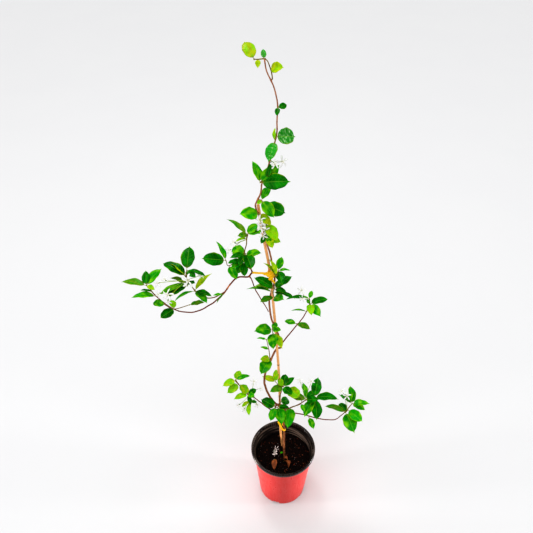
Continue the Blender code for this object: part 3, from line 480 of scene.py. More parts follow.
def loft(rings: Array, tint: Array, chart: Array, finish: Optional[NDArray[np.int64]] = None) -> Skin:
    """Closes rings of points into a skin: quads between neighbouring rings, and a fan over each end.

    Args:
        rings: (m, k, 3), each ring running anticlockwise as seen from the end that the rings run to.
        tint: The colour of each ring's points, which broadcasts to (m, k, 3).
        chart: The chart place of each point, which broadcasts to (m, k, 2).
        finish: The finish of the k faces between each pair of rings, which broadcasts to (m - 1, k).

    Returns:
        The closed skin.
    """
    count, sides = rings.shape[:2]
    row = np.arange(count - 1)[:, None] * sides
    side = np.arange(sides)[None, :]
    after = (side + 1) % sides
    quads = np.stack([row + side, row + after, row + sides + after, row + sides + side], -1).reshape(-1, 4)
    hubs = count * sides, count * sides + 1
    side, after, last = side[0], after[0], (count - 1) * sides
    none = np.full(sides, NO_CORNER)
    near = np.stack([np.full(sides, hubs[0]), after, side, none], -1)
    far = np.stack([np.full(sides, hubs[1]), last + side, last + after, none], -1)
    tints = np.broadcast_to(tint, (count, sides, 3))
    charts = np.broadcast_to(chart, (count, sides, 2))
    ends = [0, -1]
    slots = np.broadcast_to(0 if finish is None else finish, (count - 1, sides))
    return Skin(
        np.vstack([rings.reshape(-1, 3), rings[ends].mean(1)]),
        np.vstack([quads, near, far]),
        np.vstack([tints.reshape(-1, 3), tints[ends].mean(1)]),
        np.vstack([charts.reshape(-1, 2), charts[ends].mean(1)]),
        np.concatenate([slots.reshape(-1), slots[0], slots[-1]]))


def sweep(course: Array, radii: Array, tint: Array, sides: int = 10, flat: float = 1.0,
          broad: Optional[Array] = None) -> Skin:
    """A tube along a course.

    Each ring is the course's point plus the radius times (cos a along one cross direction, and
    flat times sin a along the other).

    Args:
        course: (n, 3) points in metres.
        radii: The radius at each point, or one radius.
        tint: A colour for the whole tube, or (n, 3) for each point.
        sides: How many sides the tube has.
        flat: The thickness of a flattened tube, as a share of its breadth.
        broad: The direction of the breadth, one or (n, 3). If none is given, it is the direction that
            the course as a whole runs along least.

    Returns:
        The closed tube.
    """
    along = unit(np.gradient(course, axis=0))
    reference = np.linalg.svd(along)[2][-1] if broad is None else broad
    normal = unit(reference - along * (along * reference).sum(-1, keepdims=True))
    other = np.cross(along, normal)
    angle = np.arange(sides) * 2 * math.pi / sides
    spread = np.cos(angle)[:, None] * normal[:, None] + flat * np.sin(angle)[:, None] * other[:, None]
    reach = np.broadcast_to(radii, len(course))[:, None, None]
    lengths = np.cumsum(np.linalg.norm(np.diff(course, axis=0, prepend=course[:1]), axis=1))
    chart = np.stack(np.broadcast_arrays(angle[None, :] / (2 * math.pi), lengths[:, None] / MM), -1)
    tints = np.broadcast_to(tint, (len(course), 3))[:, None]
    return loft(course[:, None] + reach * spread, tints, chart)


def turned(profile: Array, tint: Array, steps: int, finish: NDArray[np.int64]) -> Skin:
    """A turned solid: each profile point (radius, height) goes once round the Z axis.

    Args:
        profile: (m, 2), from the middle of the underside out, up the outside, over and down the inside.
        tint: The colour of the profile's points.
        steps: How many steps go round.
        finish: (m - 1,), the finish of each band.

    Returns:
        The closed solid.
    """
    angle = np.arange(steps) * 2 * math.pi / steps
    rings = np.stack(np.broadcast_arrays(profile[:, :1] * np.cos(angle), profile[:, :1] * np.sin(angle),
                                         profile[:, 1:]), -1)
    chart = np.stack(np.broadcast_arrays(angle[None, :] / (2 * math.pi), profile[:, 1:]), -1)
    return loft(rings, tint, chart, finish[:, None])


def lump(centre: Array, radii: Array, tint: Array, turn: Array, sides: int = 10, rings: int = 7) -> Skin:
    """A rounded lump: rings of a unit sphere, stretched to three radii and turned.

    The rings are evenly spaced in angle from 2% to 98% of the way from pole to pole, and the radius of
    the one at height h is the square root of 1 - h^2.

    Args:
        centre: Its middle, in metres.
        radii: Its three radii, in metres.
        tint: Its colour.
        turn: The matrix that turns it.
        sides: How many sides it has.
        rings: How many rings it has.

    Returns:
        The closed lump.
    """
    height = np.cos(np.linspace(math.pi * 0.98, math.pi * 0.02, rings))
    angle = np.arange(sides) * 2 * math.pi / sides
    across = np.sqrt(1 - height ** 2)[:, None]
    ball = np.stack(np.broadcast_arrays(across * np.cos(angle), across * np.sin(angle), height[:, None]), -1)
    return loft((ball * radii) @ turn.T + centre, tint, np.zeros(2))


def waves(places: Array, size: float, rng: np.random.Generator, count: int = 9) -> Array:
    """A smooth random surface between about -1 and 1: the sum of sine waves in random directions.

    Args:
        places: (..., d) places.
        size: The length of the longest waves, in the unit of the places.
        rng: What the directions, phases and strengths are drawn from.
        count: How many waves are summed.

    Returns:
        The value at each place.
    """
    directions = unit(rng.normal(size=(count, places.shape[-1])))
    pace = 2 * math.pi / size * rng.uniform(1, 2.6, count)
    phases = rng.uniform(0, 2 * math.pi, count)
    return np.sin(places @ (directions * pace[:, None]).T + phases).sum(-1) / math.sqrt(2 * count)


def generator(name: str) -> np.random.Generator:
    """The random numbers of one piece, the same on every run."""
    return np.random.default_rng(sum((i + 1) * ord(letter) for i, letter in enumerate(name)))


class Shade:
    """Adds shader nodes to one new material and joins them up."""

    def __init__(self, name: str) -> None:
        """Starts a material with a Principled shader.

        Args:
            name: The material's name.
        """
        self.material = bpy.data.materials.new(name)
        self.material.use_nodes = True
        self.tree = self.material.node_tree
        self.shader = self.tree.nodes["Principled BSDF"]

    def set(self, **values: float) -> None:
        """Sets numbers on the shader's own sockets; an underscore in a name stands for a space."""
        for name, value in values.items():
            self.shader.inputs[name.replace("_", " ")].default_value = value

    def join(self, output: bpy.types.NodeSocket, name: str) -> None:
        """Joins an output to one of the shader's sockets."""
        self.tree.links.new(output, self.shader.inputs[name])

    def node(self, kind: str, inputs: dict[object, object], output: int = 0,
             **settings: object) -> bpy.types.NodeSocket:
        """Adds a node.

        Args:
            kind: The node's type.
            inputs: What its sockets get, by name or number: a value, or another node's output.
            output: Which of its outputs to return.
            **settings: The node's own properties.

        Returns:
            The output socket.
        """
        made = self.tree.nodes.new(kind)
        for name, value in settings.items():
            setattr(made, name, value)
        for key, value in inputs.items():
            if isinstance(value, bpy.types.NodeSocket):
                self.tree.links.new(value, made.inputs[key])
            else:
                made.inputs[key].default_value = value
        return made.outputs[output]

    def maths(self, operation: str, *values: object) -> bpy.types.NodeSocket:
        """The result of a Math node."""
        return self.node("ShaderNodeMath", dict(enumerate(values)), operation=operation)

    def tint(self) -> bpy.types.NodeSocket:
        """The colour that the mesh's points carry."""
        return self.node("ShaderNodeAttribute", {}, attribute_name="tint")

    def chart(self, axis: str) -> bpy.types.NodeSocket:
        """One coordinate, X or Y, of the piece's own chart."""
        place = self.node("ShaderNodeUVMap", {}, uv_map="chart")
        return self.node("ShaderNodeSeparateXYZ", {0: place}, "XY".index(axis))

    def noise(self, scale: float, detail: float = 2.0, stretch: Point = (1, 1, 1)) -> bpy.types.NodeSocket:
        """Noise from 0 to 1 in the object's own space.

        Args:
            scale: How many waves there are to the metre.
            detail: How many finer layers are added.
            stretch: How close the waves are along each axis, as a share of the scale.

        Returns:
            The noise's value.
        """
        place = self.node("ShaderNodeTexCoord", {}, 3)
        place = self.node("ShaderNodeMapping", {"Vector": place, "Scale": stretch})
        return self.node("ShaderNodeTexNoise", {"Vector": place, "Scale": scale, "Detail": detail})

    def fade(self, value: object, low: float, high: float, start: float = 0.0,
             end: float = 1.0) -> bpy.types.NodeSocket:
        """A smooth step from start to end as the value goes from low to high."""
        return self.node("ShaderNodeMapRange", {0: value, 1: low, 2: high, 3: start, 4: end},
                         interpolation_type="SMOOTHSTEP")

    def mix(self, share: object, first: object, second: object, blend: str = "MIX") -> bpy.types.NodeSocket:
        """Two colours mixed; a plain colour is given as three numbers."""
        first, second = ((*c, 1) if isinstance(c, tuple) else c for c in (first, second))
        return self.node("ShaderNodeMix", {0: share, 6: first, 7: second}, 2, data_type="RGBA",
                         blend_type=blend, clamp_factor=True)

    def bump(self, height: bpy.types.NodeSocket, depth: float, strength: float = 1.0) -> None:
        """Raises the surface by a height from 0 to 1, a depth in metres."""
        self.join(self.node("ShaderNodeBump", {"Height": height, "Distance": depth, "Strength": strength}),
                  "Normal")


@dataclass(frozen=True)
class Finish:
    """A finish. Its material is made once and then shared."""

    name: str

    def material(self) -> bpy.types.Material:
        """The finish's material."""
        found = bpy.data.materials.get(self.name)
        if found:
            return found
        shade = Shade(self.name)
        self.paint(shade)
        return shade.material

    def paint(self, shade: Shade) -> None:
        """Fills in the new material."""
        raise NotImplementedError


@dataclass(frozen=True)
class LeafFinish(Finish):
    """Waxy leaf: the leaf's own tint, a pale midrib, feathered side veins, and mottling.

    A finish's shares say how much of a colour is mixed in where it is strongest.
    """

    vein: Colour = (0.30, 0.58, 0.06)
    vein_share: float = 0.32
    side_vein_share: float = 0.45
    margin: Colour = (0.46, 0.60, 0.015)
    margin_share: float = 0.65
    veil: Colour = (0.30, 0.50, 0.10)
    veil_share: float = 0.0
    mottle: Colour = (0.35, 0.55, 0.25)
    mottle_share: float = 0.55
    roughness: float = 0.24
    gloss: float = 0.12
    relief: float = 0.00012

    def veins(self, shade: Shade, across: bpy.types.NodeSocket,
              along: bpy.types.NodeSocket) -> bpy.types.NodeSocket:
        """The midrib, and side veins that rise slantwise from it and fade out before the margin.

        Args:
            shade: The new material.
            across: The distance from the midrib, 1 at the margin.
            along: The distance from the foot of the blade, 1 at its tip.

        Returns:
            How much of a vein there is, from 0 to 1.
        """
        midrib = shade.fade(across, 0.015, 0.085, 1.0, 0.0)
        slant = shade.maths("MULTIPLY_ADD", across, -VEIN_SLANT, shade.maths("MULTIPLY", along, VEIN_PAIRS))
        off_line = shade.maths("ABSOLUTE", shade.maths("SUBTRACT", shade.maths("FRACT", slant), 0.5))
        side = shade.maths("MULTIPLY", shade.fade(off_line, 0.0, 0.10, 1.0, 0.0),
                           shade.fade(across, 0.72, 0.96, 1.0, 0.0))
        return shade.maths("MAXIMUM", midrib, shade.maths("MULTIPLY", side, self.side_vein_share))

    def paint(self, shade: Shade) -> None:
        """Lays mottling, an aged margin and veins over the tint.

        The chart runs 0 to 1 across the blade and along it.

        Args:
            shade: The new material.
        """
        across = shade.maths("ABSOLUTE", shade.maths("MULTIPLY_ADD", shade.chart("X"), 2.0, -1.0))
        along = shade.chart("Y")
        veins = self.veins(shade, across, along)
        lively = shade.mix(shade.fade(shade.noise(170, 3), 0.35, 0.75, 0.0, self.mottle_share),
                           shade.tint(), self.mottle, "MULTIPLY")
        veiled = shade.mix(self.veil_share, lively, self.veil)
        rim = shade.maths("MAXIMUM", shade.fade(across, 0.80, 1.0), shade.fade(along, 0.88, 1.0))
        patches = shade.fade(shade.noise(60, 2), 0.40, 0.62, 0.0, self.margin_share)
        edged = shade.mix(shade.maths("MULTIPLY", rim, patches), veiled, self.margin)
        veined = shade.mix(shade.maths("MULTIPLY", veins, self.vein_share), edged, self.vein)
        shade.join(veined, "Base Color")
        shade.join(shade.fade(shade.noise(420, 2), 0.2, 0.8, self.roughness - 0.06, self.roughness + 0.08),
                   "Roughness")
        relief = shade.maths("SUBTRACT", shade.noise(900, 2), shade.maths("MULTIPLY", veins, 1.6))
        shade.bump(relief, self.relief)
        shade.set(Specular_IOR_Level=self.gloss)


@dataclass(frozen=True)
class BarkFinish(Finish):
    """Stem skin: the stem's own tint with lengthwise cracks and pale breathing pores."""

    crack: Colour = (0.45, 0.34, 0.30)
    pore: Colour = (0.40, 0.24, 0.14)
    pore_share: float = 0.5
    relief: float = 0.0005

    def paint(self, shade: Shade) -> None:
        """Mixes darker cracks and paler pores into the tint.

        Args:
            shade: The new material.
        """
        cracks = shade.noise(420, 4, (1, 1, 0.30))
        aged = shade.mix(shade.fade(cracks, 0.40, 0.70), shade.tint(), self.crack, "MULTIPLY")
        pores = shade.fade(shade.noise(900, 1), 0.66, 0.74)
        shade.join(shade.mix(shade.maths("MULTIPLY", pores, self.pore_share), aged, self.pore), "Base Color")
        shade.bump(cracks, self.relief)
        shade.set(Roughness=0.62, Specular_IOR_Level=0.15)


@dataclass(frozen=True)
class CaneFinish(Finish):
    """Bamboo: long fibre streaks and weather stains in the cane's own tint."""

    fibre: Colour = (0.60, 0.42, 0.30)
    fibre_share: float = 0.60
    stain: Colour = (0.30, 0.12, 0.04)
    stain_share: float = 0.40
    relief: float = 0.00025

    def paint(self, shade: Shade) -> None:
        """Stretches fine noise along the cane for its fibres, and adds the stains.

        Args:
            shade: The new material.
        """
        fibres = shade.noise(1500, 3, (1, 1, 0.03))
        stains = shade.noise(60, 3, (1, 1, 0.5))
        streaked = shade.mix(shade.fade(fibres, 0.40, 0.75, 0.0, self.fibre_share), shade.tint(), self.fibre,
                             "MULTIPLY")
        shade.join(shade.mix(shade.fade(stains, 0.54, 0.74, 0.0, self.stain_share), streaked, self.stain),
                   "Base Color")
        shade.bump(fibres, self.relief)
        shade.set(Roughness=0.42, Specular_IOR_Level=0.4)


@dataclass(frozen=True)
class PlasticFinish(Finish):
    """Moulded pot plastic with dusty clouds, scuffs and, where it blooms, a faint velvety sheen; inside the
    pot the clouds are rings of dirt and painted highlight.
    """

    colour: Colour
    dust_and_highlight: Colour
    dust_and_highlight_share: float
    roughness: float
    bloom: float = 0.0
    grain: Point = (1, 1, 0.35)
    dust_and_highlight_from: float = 0.38
    dust_and_highlight_to: float = 0.78
    relief: float = 0.00004

    def paint(self, shade: Shade) -> None:
        """Mixes a dusty colour, drawn out along the grain, into the plain plastic, and scuffs its gloss;
        inside the pot its rings are painted highlight as well as dirt.

        Args:
            shade: The new material.
        """
        clouds = shade.noise(28, 5, self.grain)
        scuffs = shade.noise(260, 3, (1, 1, 0.15))
        # Inside the pot this mix is drawn into pale rings: dirt, and painted highlight for light caught along
        # the wall.
        share = shade.fade(clouds, self.dust_and_highlight_from, self.dust_and_highlight_to, 0.0, self.dust_and_highlight_share)
        shade.join(shade.mix(share, self.colour, self.dust_and_highlight), "Base Color")
        shade.join(shade.fade(scuffs, 0.25, 0.80, self.roughness - 0.05, self.roughness + 0.14), "Roughness")
        shade.bump(shade.noise(700, 2), self.relief)
        shade.set(Specular_IOR_Level=0.5, Sheen_Weight=self.bloom, Sheen_Roughness=0.35)


@dataclass(frozen=True)
class EarthFinish(Finish):
    """Peat and bark crumbs: almost black, with fine reddish fibres.

    Its colours multiply the tint, so they may be over 1.
    """

    hollow: Colour = (0.10, 0.08, 0.08)
    crest: Colour = (1.6, 1.3, 1.2)
    fibre: Colour = (3.0, 1.9, 1.5)
    fibre_share: float = 0.6
    relief: float = 0.0012

    def paint(self, shade: Shade) -> None:
        """Breaks the tint up with dark hollows between the crumbs, and with fibres.

        Args:
            shade: The new material.
        """
        crumbs = shade.noise(520, 6)
        fibres = shade.noise(1400, 3, (1, 0.25, 1))
        uneven = shade.mix(shade.fade(crumbs, 0.30, 0.62), self.hollow, self.crest)
        fibrous = shade.mix(shade.fade(fibres, 0.60, 0.78, 0.0, self.fibre_share), uneven, self.fibre)
        shade.join(shade.mix(1.0, shade.tint(), fibrous, "MULTIPLY"), "Base Color")
        shade.bump(crumbs, self.relief)
        shade.set(Roughness=0.92, Specular_IOR_Level=0.12)


@dataclass(frozen=True)
class RibbonFinish(Finish):
    """Soft woven garden ribbon: a yellow weave with darker gaps."""

    colour: Colour = (1.00, 0.62, 0.008)
    gap: Colour = (0.90, 0.36, 0.004)
    gap_share: float = 0.4
    relief: float = 0.0002

    def paint(self, shade: Shade) -> None:
        """Darkens the ribbon in the gaps of a fine weave.

        Args:
            shade: The new material.
        """
        weave = shade.noise(2600, 1)
        shade.join(shade.mix(shade.fade(weave, 0.35, 0.60, 0.0, self.gap_share), self.colour, self.gap),
                   "Base Color")
        shade.bump(weave, self.relief)
        shade.set(Roughness=0.5, Specular_IOR_Level=0.3)


@dataclass(frozen=True)
class PetalFinish(Finish):
    """Petal: the petal's own tint, faint lengthwise veins, painted shade that greys it towards its edges, and
    a soft sheen.
    """

    # The margin grey is painted shade towards the petal's edges.
    margin: Colour = (0.38, 0.39, 0.37)
    margin_share: float = 0.50
    vein: Colour = (0.70, 0.72, 0.66)
    vein_share: float = 0.10
    vein_turns: float = 44.0
    relief: float = 0.0001

    def paint(self, shade: Shade) -> None:
        """Draws the veins, a sine wave across the petal, and greys it towards its edges with painted shade,
        which stands in for the shade of the petal's curve.

        The chart runs 0 to 1 across the petal and along it.

        Args:
            shade: The new material.
        """
        bands = shade.maths("SINE", shade.maths("MULTIPLY", shade.chart("X"), self.vein_turns))
        veined = shade.mix(shade.fade(bands, 0.3, 1.0, 0.0, self.vein_share), shade.tint(), self.vein)
        # Painted shade: grey towards both edges of the petal.
        off_middle = shade.maths("ABSOLUTE", shade.maths("SUBTRACT", shade.chart("X"), 0.5))
        shade.join(shade.mix(shade.fade(off_middle, 0.24, 0.48, 0.0, self.margin_share), veined, self.margin),
                   "Base Color")
        shade.bump(shade.noise(1300, 2), self.relief)
        shade.set(Roughness=0.55, Specular_IOR_Level=0.3, Sheen_Weight=0.15)


@dataclass(frozen=True)
class FloorFinish(Finish):
    """Plain pale studio floor."""

    colour: Colour = (0.66, 0.66, 0.665)
    cloud: Colour = (0.645, 0.645, 0.655)
    cloud_share: float = 0.3

    def paint(self, shade: Shade) -> None:
        """A very faint cloudiness keeps the floor from being one flat colour.

        Args:
            shade: The new material.
        """
        clouds = shade.noise(3, 2)
        shade.join(shade.mix(shade.fade(clouds, 0.3, 0.7, 0.0, self.cloud_share), self.colour, self.cloud),
                   "Base Color")
        shade.set(Roughness=0.75, Specular_IOR_Level=0.2)


UPPER_LEAF = LeafFinish("leaf_upper_face")
UNDER_LEAF = LeafFinish("leaf_underside", veil=(0.26, 0.42, 0.12), veil_share=0.35, roughness=0.5, gloss=0.2)
DRY_LEAF = LeafFinish("dead_leaf", vein=(0.30, 0.12, 0.06), margin=(0.10, 0.035, 0.02), roughness=0.6)
SEPAL = LeafFinish("sepal", vein=(0.20, 0.40, 0.05), roughness=0.5, gloss=0.2)
# Petal finishes grey towards their edges as painted shade; the wilted ones a little, perlite not at all.
PETAL = PetalFinish("petal_face")
WILTED_PETAL = PetalFinish("wilted_petal", margin_share=0.10)
PERLITE = PetalFinish("perlite", margin_share=0.0)
BARK = BarkFinish("stem_bark")
CANE = CaneFinish("bamboo")
RIBBON = RibbonFinish("garden_ribbon")
EARTH = EarthFinish("peat")
BARK_CHIP = EarthFinish("bark_chips")
POT_OUTSIDE = PlasticFinish("pot_red", (0.55, 0.014, 0.010), dust_and_highlight=(0.70, 0.05, 0.03), dust_and_highlight_share=0.12,
                            roughness=0.32, bloom=0.06)
POT_LIP = PlasticFinish("pot_lip", (0.026, 0.018, 0.016), dust_and_highlight=(0.26, 0.20, 0.17), dust_and_highlight_share=0.55,
                        roughness=0.25, grain=(1, 1, 4), dust_and_highlight_from=0.44)
# Inside: pale rings of dirt and painted highlight, which stand in for light caught along the wall.
POT_INSIDE = PlasticFinish("pot_inside", (0.020, 0.015, 0.014), dust_and_highlight=(0.44, 0.32, 0.26), dust_and_highlight_share=0.80,
                           roughness=0.30, grain=(0.45, 0.45, 5), dust_and_highlight_from=0.47, dust_and_highlight_to=0.70)
FLOOR = FloorFinish("studio_floor")


def make_piece(name: str, skin: Skin, finishes: Sequence[Finish], replaced: Sequence[str]) -> bpy.types.Object:
    """Makes a finished piece and says what it stands for.

    Args:
        name: The piece's name.
        skin: Its closed surface.
        finishes: The finishes that the skin's faces name by number.
        replaced: The construction nodes that it stands for.

    Returns:
        The new object, at the origin.
    """
    mesh = bpy.data.meshes.new(name)
    held = skin.faces != NO_CORNER
    corners = skin.faces[held]
    sizes = held.sum(1)
    mesh.vertices.add(len(skin.points))
    mesh.vertices.foreach_set("co", skin.points.astype(np.float32).ravel())
    mesh.loops.add(len(corners))
    mesh.loops.foreach_set("vertex_index", corners.astype(np.int32))
    mesh.polygons.add(len(sizes))
    mesh.polygons.foreach_set("loop_start", (np.cumsum(sizes) - sizes).astype(np.int32))
    mesh.polygons.foreach_set("material_index", skin.finish.astype(np.int32))
    mesh.update(calc_edges=True)
    mesh.shade_smooth()
    tint = mesh.color_attributes.new("tint", "FLOAT_COLOR", "POINT")
    colours = np.hstack([skin.tint, np.ones((len(skin.tint), 1))])
    tint.data.foreach_set("color", colours.astype(np.float32).ravel())
    chart = mesh.uv_layers.new(name="chart")
    chart.data.foreach_set("uv", skin.chart[corners].astype(np.float32).ravel())
    for finish in finishes:
        mesh.materials.append(finish.material())
    piece = bpy.data.objects.new(name, mesh)
    bpy.context.scene.collection.objects.link(piece)
    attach(piece, "root")
    if replaced:
        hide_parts(*replaced)
    log.info("%-34s %6d faces, for %s", name, len(sizes), ", ".join(replaced) or "itself")
    return piece


@dataclass
class Pot:
    """The nursery pot: red outside, black inside, with a rolled lip and a stacking ledge (mm)."""

    hub_radius: float = 12.0
    base_radius: float = 60.0
    base_round: float = 4.0
    shoulder_radius: float = 76.0
    lip_roll: float = 3.4
    lip_depth: float = 10.0
    wall: float = 1.4
    floor: float = 2.0
    ledge_height: float = 156.0
    ledge_step: float = 1.6
    steps: int = 192
    slot_headings: tuple[float, ...] = (-107, -17, 73, 163)
    slot_breadth: float = 18.0
    slot_depth: float = 6.0
    slot_height: float = 8.0
    height: float = field(init=False)
    lip_radius: float = field(init=False)

    def __post_init__(self) -> None:
        """Takes the height and the lip from the construction's pot."""
        _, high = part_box("pot")
        self.height = high.z / MM
        self.lip_radius = high.x / MM

    def outer(self, height: float) -> float:
        """The outer radius of the tapered wall at a height."""
        share = height / (self.height - self.lip_depth)
        return self.base_radius + (self.shoulder_radius - self.base_radius) * share

    def inner(self, height: float) -> float:
        """The inner radius at a height, wider above the stacking ledge."""
        return self.outer(height) - self.wall - (self.ledge_step if height < self.ledge_height else 0)

    def profile(self) -> tuple[Array, NDArray[np.int64]]:
        """The half section, and the finish of each of its bands: 0 outside, 1 on the lip and 2 inside.

        From the middle of the underside: a round base corner, the tapered wall, a rolled lip that is
        half a circle, the inner wall with its ledge, and the pot's floor.

        Returns:
            The (m, 2) profile in metres, and (m - 1,) finishes.
        """
        quarter = np.linspace(0, math.pi / 2, 6)
        corner = np.stack([self.outer(self.base_round) + self.base_round * (np.sin(quarter) - 1),
                           self.base_round * (1 - np.cos(quarter))], 1)
        rise = np.linspace(10, self.height - self.lip_depth - 1, 9)
        wall = np.stack([[self.outer(z) for z in rise], rise], 1)
        roll = np.linspace(0, math.pi, 15)
        middle = self.lip_radius - self.lip_roll
        top = self.height - self.lip_roll
        lip = np.stack([middle + self.lip_roll * np.cos(roll), top + self.lip_roll * np.sin(roll)], 1)
        under = self.height - self.lip_depth
        red = np.vstack([[(self.hub_radius, 0)], corner, wall])
        ledge = self.ledge_height
        black = np.vstack([
            [(self.shoulder_radius + 0.4, under), (self.lip_radius - 1.6, under + 0.2),
             (self.lip_radius - 0.5, under + 1.0), (self.lip_radius, under + 2.6)],
            lip])
        inner_lip = self.lip_radius - 2 * self.lip_roll - 0.5
        inside = np.array([
            (inner_lip, self.height - 8), (self.inner(ledge) + 0.6, ledge + 3),
            (self.inner(ledge), ledge + 0.8), (self.inner(ledge) - 0.5, ledge + 0.1),
            (self.inner(ledge - 0.1) + 0.3, ledge - 0.2), (self.inner(ledge - 0.1), ledge - 1.2),
            (self.inner(100), 100), (self.inner(8), 6), (self.inner(2) - 4, self.floor),
            (self.hub_radius, self.floor)])
        bands = np.repeat((0, 1, 2), (len(red), len(black), len(inside) - 1))
        return np.vstack([red, black, inside]) * MM, bands

    def slot_cutters(self) -> list[bpy.types.Object]:
        """A box for each drain slot, which opens the floor's edge and the foot of the wall.

        Returns:
            The boxes, which build takes away again once the pot is cut.
        """
        made = []
        for heading in self.slot_headings:
            turn = turn_about(2, heading)
            ways = np.array(((-1, -1), (1, -1), (1, 1), (-1, 1)))
            reach = (self.base_radius + 2 - self.slot_depth, self.base_radius + 2)
            flat = np.stack([np.where(ways[:, 0] < 0, *reach), ways[:, 1] * self.slot_breadth / 2], 1)
            heights = (-1.0, self.slot_height)
            rings = np.stack([np.column_stack([flat, np.full(4, z)]) for z in heights])
            box = loft(rings * MM @ turn.T, np.zeros(3), np.zeros(2))
            mesh = bpy.data.meshes.new("slot")
            mesh.from_pydata(box.points.tolist(), [],
                             [[c for c in face if c != NO_CORNER] for face in box.faces.tolist()])
            cutter = bpy.data.objects.new("slot", mesh)
            bpy.context.scene.collection.objects.link(cutter)
            made.append(cutter)
        return made

    def build(self) -> None:
        """Turns the pot, cuts the drain slots and sharpens the creases."""
        profile, bands = self.profile()
        skin = turned(profile, np.ones(3), self.steps, bands)
        piece = make_piece("nursery_pot", skin, (POT_OUTSIDE, POT_LIP, POT_INSIDE), ("pot",))
        cutters = self.slot_cutters()
        for cutter in cutters:
            cut = piece.modifiers.new("drain", "BOOLEAN")
            cut.operation = "DIFFERENCE"
            cut.solver = "EXACT"
            cut.object = cutter
        graph = bpy.context.evaluated_depsgraph_get()
        cut_mesh = bpy.data.meshes.new_from_object(piece.evaluated_get(graph))
        piece.modifiers.clear()
        piece.data = cut_mesh
        for cutter in cutters:
            bpy.data.objects.remove(cutter)
        cut_mesh.set_sharp_from_angle(angle=math.radians(38))


